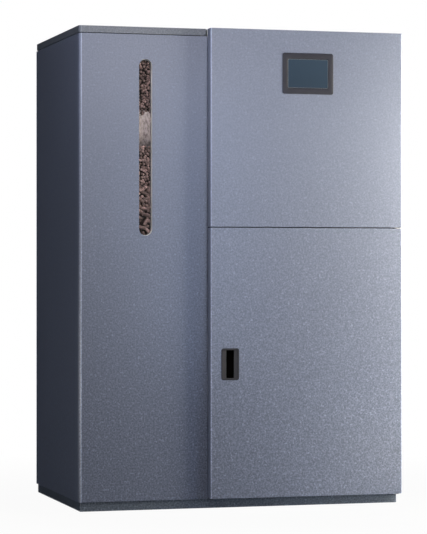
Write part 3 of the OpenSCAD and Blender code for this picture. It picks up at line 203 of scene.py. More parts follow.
# Kind, name, place, target, width and height, radiance and colour of each lamp
LAMPS = [
    ("key", "right_strip", (0.885, -0.634, 0.52), (0.1, -0.3, 0.52), (0.352, 0.84), 10.8, (1.0, 0.91, 0.72)),
    ("key", "high_strip", (0.885, -0.634, 1.05), (0.1, -0.3, 1.05), (0.352, 0.5), 20.5, (1.0, 0.93, 0.77)),
    ("key", "top_box", (-0.76, -0.88, 1.94), (-0.25, -0.3, 1.15), (0.486, 0.486), 11.4, (0.92, 0.91, 1.0)),
    ("sheen", "blue_sheen", (0.12, -1.15, 0.80), (-0.12, -0.3, 0.80), (0.16, 0.9), 6.7, (0.60, 0.73, 1.0)),
    ("fill", "hopper_fill", (-0.10, -1.05, 1.35), (-0.15, -0.3, 1.1), (0.4, 0.4), 8.2, (1.0, 0.95, 0.88)),
    ("fill", "low_front_fill", (0.72, -1.15, 0.10), (0.25, -0.27, 0.02), (0.5, 0.18), 7.5, (0.60, 0.76, 1.0)),
    ("fill", "right_fill", (0.56, -0.72, 0.08), (0.25, -0.27, 0.02), (0.25, 0.14), 6.5, (1.0, 0.95, 0.84)),
    ("fill", "low_left_fill", (-2.4, -0.75, 0.25), (-0.3, -0.3, 0.25), (0.8, 0.5), 2.4, (0.76, 0.88, 1.0)),
    ("edge", "low_edge", (-1.785, -1.76, 0.25), (-0.447, -0.275, 0.25), (0.9, 0.5), 22.0, (1.0, 1.0, 1.0)),
    ("edge", "back_edge", (-2.44, 0.655, 0.2), (-0.447, -0.275, 0.2), (0.4, 0.5), 14.0, (1.0, 1.0, 1.0)),
    ("edge", "high_edge", (-0.72, -3.20, 1.30), (-0.447, -0.275, 1.30), (0.5, 0.9), 24.0, (1.0, 1.0, 1.0)),
    ("key", "rear_softbox", (1.7, 2.4, 2.2), (0.1, 0.3, 0.7), (1.4, 1.4), 11.0, (1.0, 1.0, 1.0)),
]
# Corners of the dark cards: two that stand, and two that lie on the floor
DARK_CARDS = {
    "front_card": [(-2.6, -7.0, 0.0), (6.0, -7.0, 0.0), (6.0, -7.0, 5.0), (-2.6, -7.0, 5.0)],
    "left_card": [(-4.5, 0.2, 0.0), (-0.46, 2.6, 0.0), (-0.46, 2.6, 4.0), (-4.5, 0.2, 4.0)],
    "front_carpet": [(-2.4, -7.0, 0.002), (6.0, -7.0, 0.002), (3.0, -0.26, 0.002), (-0.44, -0.26, 0.002)],
    "left_carpet": [(-4.5, -0.6, 0.002), (-0.44, -0.6, 0.002), (-0.44, 2.6, 0.002), (-4.5, 2.6, 0.002)],
}

bpy.context.scene.view_settings.view_transform = "Standard"
add_camera()
add_world(ambient=0.09)
add_floor(glow=0.955)
for lamp_row in LAMPS:
    add_lamp(*lamp_row)
for card_name, card_corners in DARK_CARDS.items():
    add_dark_card(card_name, card_corners)


# Finishes

# Mesh attribute that marks the folds which get a painted highlight
EDGE_MARK = "painted_edge_highlight"


class Finish:
    """One material, with short calls for the nodes that the finishes share."""

    def __init__(self, name, colour, rough, metallic=0.0, specular=0.5, coat=0.0, sheen=0.0, alpha=1.0):
        self.material = bpy.data.materials.new(name)
        self.material.use_nodes = True
        self.tree = self.material.node_tree
        self.shader = self.tree.nodes["Principled BSDF"]
        self.colour = colour
        for socket, value in {"Base Color": (*colour, 1.0), "Roughness": rough, "Metallic": metallic,
                              "Specular IOR Level": specular, "Coat Weight": coat, "Coat Roughness": 0.08,
                              "Sheen Weight": sheen, "Alpha": alpha}.items():
            self.set(socket, value)
        self.place = self.add("ShaderNodeTexCoord").outputs["Object"]

    def set(self, socket, value):
        feed(self.tree, self.shader, socket, value)

    def add(self, kind, **inputs):
        return add_node(self.tree, kind, **inputs)

    def along(self, axis):
        """One of the object coordinates."""
        return self.add("ShaderNodeSeparateXYZ", Vector=self.place).outputs[axis]

    def stretched(self, scale):
        """Object coordinates scaled unevenly, for brushed and fibrous patterns."""
        return self.add("ShaderNodeMapping", Vector=self.place, Scale=scale).outputs["Vector"]

    def noise(self, scale, detail=2.0, vector=None):
        where = vector or self.place
        return self.add("ShaderNodeTexNoise", Vector=where, Scale=scale, Detail=detail).outputs["Fac"]

    def cells(self, scale):
        return self.add("ShaderNodeTexVoronoi", Vector=self.place, Scale=scale).outputs["Color"]

    def ramp(self, value, stops):
        node = self.add("ShaderNodeValToRGB", Fac=value)
        ramp = node.color_ramp
        while len(ramp.elements) < len(stops):
            ramp.elements.new(0.5)
        for element, (position, colour) in zip(ramp.elements, stops):
            element.position = position
            element.color = (*colour, 1.0)
        return node.outputs["Color"]

    def shade(self, value, dark, light, low=0.3, high=0.7):
        """Colour between a darker and a lighter tone of this finish."""
        stops = [(low, [c * dark for c in self.colour]), (high, [min(1.0, c * light) for c in self.colour])]
        return self.ramp(value, stops)

    def mix(self, first, second, factor=None):
        """The product of two colours, or with a factor the blend from the first to the second."""
        node = self.add("ShaderNodeMix")
        node.data_type = "RGBA"
        if factor is None:
            node.blend_type = "MULTIPLY"
            factor = 1.0
        for key, value in (("Factor", factor), ("A", first), ("B", second)):
            feed(self.tree, node, key, value)
        return node.outputs["Result"]

    def span(self, value, low, high, start=0.0, end=1.0):
        return self.add("ShaderNodeMapRange", Value=value, From_Min=start, From_Max=end, To_Min=low,
                        To_Max=high).outputs["Result"]

    def paint(self, colour):
        self.set("Base Color", colour)

    def fold_highlight(self, colour, gain):
        """The colour, paler where the mesh's edge attribute marks a fold: a painted highlight."""
        edge = self.add("ShaderNodeAttribute")
        edge.attribute_name = EDGE_MARK
        return self.mix(colour, self.ramp(edge.outputs["Fac"], [(0.0, (1, 1, 1)), (1.0, (gain, gain, gain))]))

    def polish(self, value, low, high):
        self.set("Roughness", self.span(value, low, high, 0.3, 0.7))

    def relief(self, value, strength, height):
        self.set("Normal", self.add("ShaderNodeBump", Strength=strength, Distance=height,
                                    Height=value).outputs["Normal"])


def powder_coat(name, colour, rough=0.4, specular=0.35, sparkle=0.3, highlight_gain=1.5):
    """Textured powder coat with slow tone changes, a painted highlight on its paler folds and a sparkle,
    which is full near the floor and weak from a metre up."""
    f = Finish(name, colour, rough, specular=specular)
    grain = f.noise(240, 2)
    fleck = f.noise(150, 1)
    slow = f.noise(5, 2)
    plain = f.shade(slow, 0.96, 1.02)
    specks = f.ramp(fleck, [(0.35, (0.90, 0.90, 0.91)), (0.62, (1.0, 1.0, 1.0)), (0.72, (1.3, 1.3, 1.3))])
    coarse = f.mix(f.shade(grain, 1 - sparkle, 1 + sparkle, 0.34, 0.68), specks)
    share = f.span(f.along("Z"), 1.0, 0.3, 0.2, 1.0)
    # The paler folds are a painted highlight
    f.paint(f.fold_highlight(f.mix(plain, coarse, share), highlight_gain))
    f.polish(grain, rough - 0.05, rough + 0.07)
    f.relief(grain, 0.2, 0.0005)
    return f.material


def galvanised(name, colour):
    """Zinc coated sheet with its crystal pattern."""
    f = Finish(name, colour, 0.38, metallic=0.9)
    crystals = f.cells(90)
    f.paint(f.shade(crystals, 0.78, 1.12, 0.1, 0.9))
    f.polish(crystals, 0.3, 0.5)
    f.relief(f.noise(300), 0.06, 0.0003)
    return f.material


def plated(name, colour, rough=0.3):
    """Plated or turned metal with fine brushing."""
    f = Finish(name, colour, rough, metallic=0.95)
    brushing = f.noise(1, 3, f.stretched((40, 40, 900)))
    f.paint(f.shade(brushing, 0.86, 1.06))
    f.polish(brushing, rough - 0.06, rough + 0.1)
    f.relief(brushing, 0.08, 0.0002)
    return f.material


def cast(name, colour):
    """Rough cast iron, a little rusty where it is hot."""
    f = Finish(name, colour, 0.7, metallic=0.3)
    lumps = f.noise(180, 4)
    rust = f.ramp(f.noise(28, 4), [(0.5, colour), (0.72, (0.20, 0.11, 0.07))])
    f.paint(f.mix(rust, f.ramp(lumps, [(0.3, (0.7, 0.7, 0.7)), (0.7, (1, 1, 1))])))
    f.relief(lumps, 0.5, 0.0008)
    return f.material


def rubber(name, colour):
    """Extruded seal rubber with a dusty bloom."""
    f = Finish(name, colour, 0.72, specular=0.3, sheen=0.15)
    f.paint(f.shade(f.noise(60, 3), 0.8, 1.5))
    f.relief(f.noise(700, 2), 0.15, 0.0002)
    return f.material


def moulded(name, colour, rough=0.45, specular=0.45):
    """Moulded plastic with a fine eroded texture."""
    f = Finish(name, colour, rough, specular=specular)
    grain = f.noise(1100, 2)
    f.paint(f.shade(f.noise(40, 2), 0.9, 1.12))
    f.polish(grain, rough - 0.05, rough + 0.08)
    f.relief(grain, 0.18, 0.0002)
    return f.material


def screen_glass(name, colour):
    """Dark glass of the touch screen, a little lighter towards its top as painted light."""
    f = Finish(name, colour, 0.12, specular=0.5, coat=0.3)
    # Painted light: the glass is lighter towards its top
    height = f.span(f.along("Z"), 0.0, 1.0, 1.12, 1.21)
    f.paint(f.mix(f.shade(height, 0.93, 1.1, 0.0, 1.0),
                  f.ramp(f.noise(30, 2), [(0.3, (0.97, 0.97, 0.97)), (0.7, (1, 1, 1))])))
    return f.material


def clear_glass(name):
    """Clear hopper window with faint dust."""
    f = Finish(name, (0.12, 0.12, 0.12), 0.05, specular=0.06, alpha=0.03)
    f.polish(f.noise(90, 3), 0.03, 0.09)
    return f.material


def wool(name, colour):
    """Mineral wool board with its fibres."""
    f = Finish(name, colour, 0.95, specular=0.1, sheen=0.3)
    fibres = f.noise(1, 4, f.stretched((120, 120, 900)))
    patches = f.ramp(f.noise(25, 3), [(0.3, (0.85, 0.83, 0.8)), (0.7, (1, 1, 1))])
    f.paint(f.mix(f.shade(fibres, 0.7, 1.2), patches))
    f.relief(fibres, 0.6, 0.001)
    return f.material


def pellet_wood(name, colour, front=None, full_shade_at=0.75, deep_shade=0.16):
    """Pressed wood pellets, each of its own tone; behind the window a painted shade darkens them with their
    depth.
    """
    f = Finish(name, colour, 0.75, specular=0.15)
    own = f.add("ShaderNodeNewGeometry").outputs["Random Per Island"]
    dark, pale = [c * 0.55 for c in colour], [min(1, c * 1.9) for c in colour]
    tone = f.ramp(own, [(0.0, dark), (0.55, colour), (1.0, pale)])
    bands_and_shade = f.ramp(f.noise(420, 3), [(0.3, (0.70, 0.68, 0.66)), (0.65, (1, 1, 1))])
    if front is not None:
        # Painted shade: darker with depth behind the front of the charge
        depth = f.span(f.along("Y"), 0.0, 1.0, front, front + 12 * MM)
        bands_and_shade = f.mix(bands_and_shade, f.ramp(depth, [(0.15, (1, 1, 1)), (full_shade_at, (deep_shade, deep_shade * 0.8, deep_shade * 0.8))]))
    f.paint(f.mix(tone, bands_and_shade))
    f.relief(f.noise(500, 3), 0.4, 0.0004)
    return f.material


def wood_dust(name, low, high):
    """Fine pale dust, greyer and darker towards its foot."""
    f = Finish(name, (0.27, 0.23, 0.225), 0.95, specular=0.05)
    height = f.ramp(f.span(f.along("Z"), 0.0, 1.0, low, high),
                    [(0.0, (0.10, 0.088, 0.094)), (0.2, (0.19, 0.164, 0.17)), (0.45, (0.38, 0.33, 0.33)),
                     (0.85, (0.45, 0.395, 0.392))])
    streaks = f.ramp(f.noise(1, 4, f.stretched((200, 200, 90))),
                     [(0.36, (0.58, 0.56, 0.56)), (0.5, (1.0, 1.0, 1.0)), (0.65, (1.2, 1.2, 1.2))])
    f.paint(f.mix(height, streaks))
    f.relief(f.noise(600, 3), 0.3, 0.0004)
    return f.material


# Finish of each material slot
FINISHES = {
    # The last number of the slate coat is the gain of the highlight painted on its folds
    "painted_sheet": powder_coat("slate_powder_coat", (0.150, 0.173, 0.245), 0.34, 0.4, 0.30, 2.1),
    "lid_paint": powder_coat("lid_powder_coat", (0.122, 0.138, 0.172), 0.36, 0.4, 0.7),
    "plinth_paint": powder_coat("plinth_powder_coat", (0.104, 0.127, 0.168), 0.38, 0.4, 0.4),
    "dark_paint": powder_coat("charcoal_powder_coat", (0.045, 0.048, 0.056), 0.5, 0.2),
    "boiler_paint": powder_coat("oxide_primer", (0.20, 0.055, 0.04), 0.6, 0.25),
    "galvanised_steel": galvanised("galvanised_sheet", (0.50, 0.52, 0.54)),
    "zinc_plate": plated("bright_zinc", (0.60, 0.61, 0.63)),
    "cast_iron": cast("burner_iron", (0.06, 0.055, 0.05)),
    "brass": plated("valve_brass", (0.62, 0.43, 0.18), 0.28),
    "seal_rubber": rubber("seal_rubber_black", (0.016, 0.016, 0.018)),
    "black_plastic": moulded("bezel_plastic", (0.0195, 0.0205, 0.030), 0.5, 0.2),
    "dark_gloss": screen_glass("screen_glass", (0.028, 0.045, 0.071)),
    "red_plastic": moulded("red_plastic_shell", (0.42, 0.03, 0.02), 0.3),
    "window_glass": clear_glass("hopper_glass"),
    "insulation": wool("mineral_wool", (0.52, 0.44, 0.27)),
    "wood_pellets": pellet_wood("pressed_wood", (0.165, 0.105, 0.095)),
}
# Finishes of single pieces; the window's pellets get a painted shade that darkens them from the front of the
# charge, and the core is painted near black as shade
PELLET_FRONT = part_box("pellet_charge")[0][1]
WINDOW_PELLETS = pellet_wood("window_wood", (0.205, 0.138, 0.132), PELLET_FRONT)
LOW_PELLETS = pellet_wood("low_window_wood", (0.31, 0.215, 0.205), PELLET_FRONT, 0.55, 0.08)
SHADED_CORE_WOOD = pellet_wood("shaded_wood", (0.022, 0.013, 0.012))
TRIM_GREY = moulded("pale_trim_plastic", (0.66, 0.64, 0.64), 0.45, 0.3)
PALE_EDGE = moulded("pale_edge_plastic", (0.11, 0.125, 0.15), 0.35)
PULL_PLASTIC = moulded("pull_plastic", (0.031, 0.031, 0.037), 0.5, 0.15)
# Near black of the pull's slot back: painted shade deep in the slot
SLOT_SHADE = moulded("pull_slot_painted_shade", (0.004, 0.0035, 0.003), 0.8, 0.0)
GREEN_TERMINAL = moulded("terminal_plastic", (0.05, 0.20, 0.09), 0.4)

for node, obj in NODES.items():
    for material_slot in obj.material_slots:
        material_slot.material = FINISHES[SLOT_OF[node]]


# Mesh helpers

def soften(mesh, angle):
    """Smooth shading that keeps edges sharper than the angle."""
    for face in mesh.polygons:
        face.use_smooth = True
    mesh.set_sharp_from_angle(angle=math.radians(angle))


def finished(obj):
    """Plain mesh of an object with its modifiers applied; the object goes."""
    graph = bpy.context.evaluated_depsgraph_get()
    mesh = bpy.data.meshes.new_from_object(obj.evaluated_get(graph))
    bpy.data.objects.remove(obj)
    return mesh


def bevelled(mesh, width):
    """The mesh with its sharp edges rounded."""
    obj = linked("bevel_work", mesh)
    bevel = obj.modifiers.new("edges", "BEVEL")
    bevel.width = width
    bevel.segments = 2
    bevel.limit_method = "ANGLE"
    bevel.angle_limit = math.radians(30)
    flat = obj.modifiers.new("flat_faces", "WEIGHTED_NORMAL")
    flat.weight = 100
    for face in mesh.polygons:
        face.use_smooth = True
    return finished(obj)


def piece(name, mesh, body, slot, replaces=(), finish=None, smooth=None):
    """A finished piece on its body, with the finish of its slot unless one is given.

    smooth is the angle from which its edges stay sharp."""
    if smooth is not None:
        soften(mesh, smooth)
    mesh.materials.clear()
    mesh.materials.append(finish or FINISHES[slot])
    obj = linked(name, mesh)
    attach(obj, body)
    if replaces:
        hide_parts(*replaces)


def cad_copy(node):
    """Joined copy of a CAD node's triangles, with its flat faces whole."""
    bm = bmesh.new()
    bm.from_mesh(NODES[node].data)
    bmesh.ops.remove_doubles(bm, verts=bm.verts, dist=1e-6)
    bmesh.ops.dissolve_limit(bm, angle_limit=math.radians(0.5), verts=bm.verts, edges=bm.edges)
    mesh = bpy.data.meshes.new(node)
    bm.to_mesh(mesh)
    bm.free()
    return mesh


def mark_highlight_folds(mesh, widest):
    """Marks the faces of folds, which face between the main directions, for the highlight painted on them.

    A slanted fold is marked in full, an upright one only within widest degrees of the front."""
    straight = math.cos(math.radians(2))
    mark = mesh.attributes.new(EDGE_MARK, "FLOAT", "CORNER")
    for face in mesh.polygons:
        x, y, z = face.normal
        value = 0.0
        if max(abs(x), abs(y), abs(z)) < straight:
            from_front = math.degrees(math.acos(min(1.0, -y))) if y < 0 else 90.0
            value = 1.0 if from_front < widest or abs(z) > 0.1 else 0.15
        for corner in face.loop_indices:
            mark.data[corner].value = value


def dress(node, width):
    """A CAD node with rounded edges, its folds marked for the highlight that powder coats paint on them, in
    place of the node.
    """
    mesh = bevelled(cad_copy(node), width)
    mark_highlight_folds(mesh, FRONT_FOLD if node in ROUND_CORNERS else 90.0)
    piece(node + "_finished", mesh, BODY_OF[node], SLOT_OF[node], [node])


def mesh_from(bm):
    """Mesh of a bmesh, its double points joined and its faces turned outward."""
    bmesh.ops.remove_doubles(bm, verts=bm.verts, dist=1e-7)
    bmesh.ops.recalc_face_normals(bm, faces=bm.faces)
    mesh = bpy.data.meshes.new("work")
    bm.to_mesh(mesh)
    bm.free()
    return mesh


def around(count):
    """Pairs of each index and the next, back to the first."""
    return [(i, (i + 1) % count) for i in range(count)]


def loft(loops, ring=False):
    """Mesh through equal loops of points, with end caps unless it closes on itself."""
    bm = bmesh.new()
    rows = [[bm.verts.new(point) for point in loop] for loop in loops]
    pairs = list(zip(rows, rows[1:]))
    if ring:
        pairs.append((rows[-1], rows[0]))
    for a, b in pairs:
        for i, j in around(len(a)):
            bm.faces.new((a[i], a[j], b[j], b[i]))
    if not ring:
        bm.faces.new(rows[0])
        bm.faces.new(list(reversed(rows[-1])))
    return mesh_from(bm)


def joined(*meshes):
    """One mesh of several."""
    bm = bmesh.new()
    for mesh in meshes:
        bm.from_mesh(mesh)
        bpy.data.meshes.remove(mesh)
    mesh = bpy.data.meshes.new("joined")
    bm.to_mesh(mesh)
    bm.free()
    return mesh


def round_rect(cx, cy, w, h, r, steps=5):
    """Points of a rectangle with round corners."""
    r = max(r, 1e-5)
    points = []
    for sx, sy, start in ((1, 1, 0), (-1, 1, 90), (-1, -1, 180), (1, -1, 270)):
        for i in range(steps + 1):
            a = math.radians(start + 90 * i / steps)
            points.append((cx + sx * (w / 2 - r) + r * math.cos(a), cy + sy * (h / 2 - r) + r * math.sin(a)))
    return points


def upright(points, y):
    return [(x, y, z) for x, z in points]


def level(points, z):
    return [(x, y, z) for x, y in points]


def turned(profile, centre, axis, steps):
    """Loops of a solid of revolution: profile holds (radius, distance along the axis) pairs."""
    loops = []
    for radius, along in profile:
        loop = []
        for i in range(steps):
            a = 2 * math.pi * i / steps
            u, v = radius * math.cos(a), radius * math.sin(a)
            offset = {"X": (along, u, v), "Y": (u, along, v), "Z": (u, v, along)}[axis]
            loop.append(tuple(c + o for c, o in zip(centre, offset)))
        loops.append(loop)
    return loops


def front_of(node):
    """Middle and size of a node along X and Z."""
    low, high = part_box(node)
    return ((low[0] + high[0]) / 2, (low[2] + high[2]) / 2), (high[0] - low[0], high[2] - low[2])


# Geometry Nodes helpers

class Tree:
    """Geometry Nodes tree with inputs of a name and a default, ending in a mesh with its material.

    An input whose default is None takes an object."""

    KINDS = {float: "NodeSocketFloat", int: "NodeSocketInt", type(None): "NodeSocketObject"}

    def __init__(self, name, **inputs):
        self.group = bpy.data.node_groups.new(name, "GeometryNodeTree")
        face = self.group.interface
        face.new_socket("Geometry", in_out="INPUT", socket_type="NodeSocketGeometry")
        self.ids = {}
        for label, value in inputs.items():
            socket = face.new_socket(label, in_out="INPUT", socket_type=self.KINDS[type(value)])
            if value is not None:
                socket.default_value = value
            self.ids[label] = socket.identifier
        face.new_socket("Geometry", in_out="OUTPUT", socket_type="NodeSocketGeometry")
        self.given = self.group.nodes.new("NodeGroupInput").outputs

    def add(self, kind, **inputs):
        return add_node(self.group, kind, **inputs)

    def feed(self, node, key, value):
        feed(self.group, node, key, value)

    def random(self, seed, low, high):
        """A number between two values, drawn for each point."""
        node = self.add("FunctionNodeRandomValue", Seed=seed)
        self.feed(node, 2, low)
        self.feed(node, 3, high)
        return node.outputs[1]

    def end(self, geometry, finish):
        real = self.add("GeometryNodeRealizeInstances", Geometry=geometry)
        coloured = self.add("GeometryNodeSetMaterial", Geometry=real.outputs[0], Material=finish)
        out = self.group.nodes.new("NodeGroupOutput")
        self.group.links.new(coloured.outputs[0], out.inputs[0])

    def run(self, mesh, **values):
        """Plain mesh that the tree makes of a mesh with these inputs."""
        obj = linked("tree_work", mesh)
        modifier = obj.modifiers.new("tree", "NODES")
        modifier.node_group = self.group
        for label, value in values.items():
            modifier[self.ids[label]] = value
        return finished(obj)


def repeat_tree(name, finish):
    """Puts one shape on every point of a mesh, turned the same way."""
    tree = Tree(name, Shape=None)
    shape = tree.add("GeometryNodeObjectInfo", Object=tree.given["Shape"])
    on = tree.add("GeometryNodeInstanceOnPoints", Points=tree.given["Geometry"],
                  Instance=shape.outputs["Geometry"])
    tree.end(on.outputs[0], finish)
    return tree


def repeated(name, shape, points, finish):
    """One mesh with a shape on every point."""
    tree = repeat_tree(name, finish)
    base = linked("repeat_shape", shape)
    spots = bpy.data.meshes.new("repeat_points")
    spots.from_pydata([tuple(p) for p in points], [], [])
    mesh = tree.run(spots, Shape=base)
    bpy.data.objects.remove(base)
    return mesh


# Dressed CAD nodes

# Nodes with wide round corners, and the angle from the front up to which their folds get a painted highlight
FRONT_FOLD = 17.0
ROUND_CORNERS = ("hopper_front_panel", "hopper_lid", "hopper_collar")
# Width of the rounded edges, and the nodes that have it
DRESSED = {
    0.3 * MM: ["burner_pot", "fan_wheel", "turbulators"],
    0.45 * MM: ["right_side_panel", "rear_panel", "boiler_top_panel",
                "hopper_collar", "partition_panel", "front_frame", "hopper_tank",
                "service_plate", "hinge_brackets", "mains_inlet", "ash_drawer",
                "control_box", "boiler_rails", "lid_hinge_base", "lid_hinge_leaf", "fan_housing"],
    0.7 * MM: ["left_side_panel", "hopper_front_panel"],
    0.8 * MM: ["feeder_gearbox", "feeder_motor", "fan_motor", "burner_base", "igniter",
               "auger_tube", "auger_bush", "auger_shaft", "drain_lever_arm", "reset_button", "switch_rocker",
               "window_glass", "window_gasket", "door_magnets"],
    1.0 * MM: ["upper_door", "lower_door", "hopper_lid", "base_plinth"],
    1.5 * MM: ["boiler_body", "firebox_door", "firebox_hinges", "firebox_baffle", "smokebox_hatch",
               "boiler_insulation", "lid_liner", "cleaning_rod"],
}
for edge, names in DRESSED.items():
    for node in names:
        dress(node, edge)


# Display

def rim_loops(middle, size, rows):
    """Upright loops round a middle; a row holds the change of the size, the corner radius and the depth."""
    w, h = size
    return [upright(round_rect(*middle, w + grow, h + grow, radius), y) for grow, radius, y in rows]


def add_display():
    """Bezel with round corners and a sloping inner edge, the glass in it and a pale line round the glass."""
    low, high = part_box("display_bezel")
    middle, outer = front_of("display_bezel")
    glass_size = front_of("touch_screen")[1]
    glass_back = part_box("touch_screen")[1][1]
    y = low[1]
    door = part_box("upper_door")[0][1]
    bezel = loft(rim_loops(middle, outer, [
        (0, 5 * MM, door), (0, 5 * MM, y + 0.9 * MM),
        (-0.6 * MM, 4.8 * MM, y + 0.35 * MM), (-2 * MM, 4.4 * MM, y),
    ]) + rim_loops(middle, glass_size, [
        (5 * MM, 5 * MM, y), (4.2 * MM, 4.8 * MM, y + 0.15 * MM),
        (0.4 * MM, 4 * MM, y + 1.6 * MM), (0.4 * MM, 4 * MM, y + 6 * MM),
    ]) + rim_loops(middle, outer, [
        (-14 * MM, 3 * MM, y + 6.5 * MM), (-14 * MM, 3 * MM, door),
    ]), ring=True)
    housing = loft(rim_loops(middle, outer, [
        (-14 * MM, 3 * MM, door + 5 * MM), (-14 * MM, 3 * MM, high[1] - 1.5 * MM),
        (-17 * MM, 2 * MM, high[1]),
    ]))
    piece("display_frame", joined(bezel, housing), "upper_door_set", "black_plastic", ["display_bezel"],
          smooth=40)
    line = loft(rim_loops(middle, glass_size, [
        (-0.2 * MM, 3.8 * MM, y + 1.3 * MM), (-0.4 * MM, 3.7 * MM, y + 0.9 * MM),
        (-1.8 * MM, 3.2 * MM, y + 0.9 * MM), (-2.0 * MM, 3.2 * MM, y + 1.3 * MM),
    ]), ring=True)
    piece("screen_edge_line", line, "upper_door_set", "black_plastic", finish=PALE_EDGE, smooth=40)
    glass = loft(rim_loops(middle, glass_size, [
        (0, 3.9 * MM, glass_back), (0, 3.9 * MM, y + 1.5 * MM),
        (-0.5 * MM, 3.7 * MM, y + 1.1 * MM), (-3 * MM, 3 * MM, y + 1.0 * MM),
    ]))
    piece("display_glass", glass, "upper_door_set", "dark_gloss", ["touch_screen"], smooth=40)


# Recessed pull

def add_pull():
    """Cup with a round-cornered flange, a slanted finger plate and a deep slot, whose back is near black as
    painted shade.
    """
    low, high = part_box("pull_cup")
    middle, outer = front_of("pull_cup")
    cx, cz = middle
    front, back = low[1], high[1]
    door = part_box("lower_door")[0][1]
    slot_left = low[0] + 14 * MM
    slot_right = slot_left + 21 * MM
    inner_w, inner_h = outer[0] - 8 * MM, outer[1] - 10 * MM
    inner = (inner_w, inner_h)
    floor = (inner_w * 0.5, inner_h * 0.5)
    cup = loft(rim_loops(middle, outer, [
        (0, 6 * MM, door), (0, 6 * MM, front + 0.4 * MM), (-0.8 * MM, 5.6 * MM, front),
    ]) + rim_loops(middle, inner, [
        (1.2 * MM, 3 * MM, front), (0, 2.6 * MM, front + 0.6 * MM), (0, 2.6 * MM, back - 2 * MM),
    ]) + rim_loops(middle, floor, [
        (0, 1 * MM, back - 2 * MM), (0, 1 * MM, back - 1 * MM),
    ]) + rim_loops(middle, outer, [
        (-6.8 * MM, 2 * MM, back), (-6.8 * MM, 2 * MM, door),
    ]), ring=True)
    overlap = 0.3 * MM
    left, right = cx - inner_w / 2 - overlap, cx + inner_w / 2 + overlap
    bottom, top = cz - inner_h / 2 - overlap, cz + inner_h / 2 + overlap

    def slab(plan):
        return loft([level(plan, bottom), level(plan, top)])

    plate = slab([(left, front + 0.9 * MM), (slot_left - 1.0 * MM, front + 2.2 * MM),
                  (slot_left, front + 3.2 * MM), (slot_left, door + 8 * MM),
                  (slot_left - 2 * MM, door + 8 * MM), (left, door + 5 * MM)])
    lip = slab([(right, front + 0.9 * MM), (right, door + 3 * MM), (slot_right + 0.6 * MM, door + 3 * MM),
                (slot_right, door + 2.4 * MM), (slot_right, front + 1.6 * MM),
                (slot_right + 0.8 * MM, front + 0.9 * MM)])
    piece("finger_pull", joined(cup, plate, lip), "lower_door_set", "black_plastic", ["pull_cup"],
          PULL_PLASTIC, 35)
    # The cup's floor and the slot's back are near black: painted shade
    floor_plate = loft(rim_loops(middle, floor, [
        (1 * MM, 1 * MM, back - 2.1 * MM), (1 * MM, 1 * MM, back - 1 * MM)]))
    slot_back = loft(rim_loops(middle, inner, [
        (-0.4 * MM, 2.4 * MM, door + 9 * MM), (-0.4 * MM, 2.4 * MM, door + 10 * MM)]))
    piece("pull_slot_back", joined(floor_plate, slot_back), "lower_door_set", "black_plastic",
          finish=SLOT_SHADE, smooth=35)


# Seals

def ring_seal(low, high, width, base, tip, place):
    """Rubber seal with a round crown that runs inside a rectangle."""
    steps, corner = 7, 8 * MM
    middle = [(a + b) / 2 for a, b in zip(low, high)]
    w, h = (b - a - width for a, b in zip(low, high))
    loops = []
    for i in range(steps):
        a = math.pi * i / (steps - 1)
        grow = -width + width * (1 - math.cos(a))
        depth = base + (tip - base) * math.sin(a)
        loops.append(place(round_rect(*middle, w + grow, h + grow, corner + grow / 2), depth))
    return loft(loops, ring=True)


def add_seals():
    """Door seals with a round crown, and the lid's gasket with a pad at its rear left corner."""
    width = 8 * MM
    low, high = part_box("door_seals")
    gap_low, gap_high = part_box("lower_door")[1][2] - 1.5 * MM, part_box("upper_door")[0][2] + 1.5 * MM
    beads = [ring_seal((low[0], z0), (high[0], z1), width, high[1], low[1], upright)
             for z0, z1 in ((low[2], gap_low), (gap_high, high[2]))]
    piece("door_seal_bead", joined(*beads), "cabinet", "seal_rubber", ["door_seals"], smooth=50)
    low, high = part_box("lid_gasket")
    bead = ring_seal(low[:2], high[:2], width, low[2], high[2], level)
    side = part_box("left_side_panel")[0][0]
    outline = round_rect(side + 4.5 * MM, high[1] - 9 * MM, 7 * MM, 18 * MM, 1.5 * MM, 3)
    pad = loft([level(outline, low[2] + 0.1 * MM), level(outline, high[2] - 0.1 * MM)])
    piece("lid_gasket_bead", joined(bead, pad), "cabinet", "seal_rubber", ["lid_gasket"], smooth=50)


# Pellets

# Heights behind the window: pellets that lie end on and across are mixed, and the dust lies above them
MIXED_LOW, MIXED_HIGH = 0.800, 0.855
DUST_LOW, DUST_HIGH = 0.952, 1.060


def pellet_shape():
    """One pellet with broken ends."""
    radius, half = 3.6 * MM, 9 * MM
    end = 0.8 * MM
    profile = [(radius * 0.78, -half), (radius, -half + end), (radius, half - end), (radius * 0.78, half)]
    mesh = loft(turned(profile, (0, 0, 0), "X", 8))
    soften(mesh, 50)
    return mesh


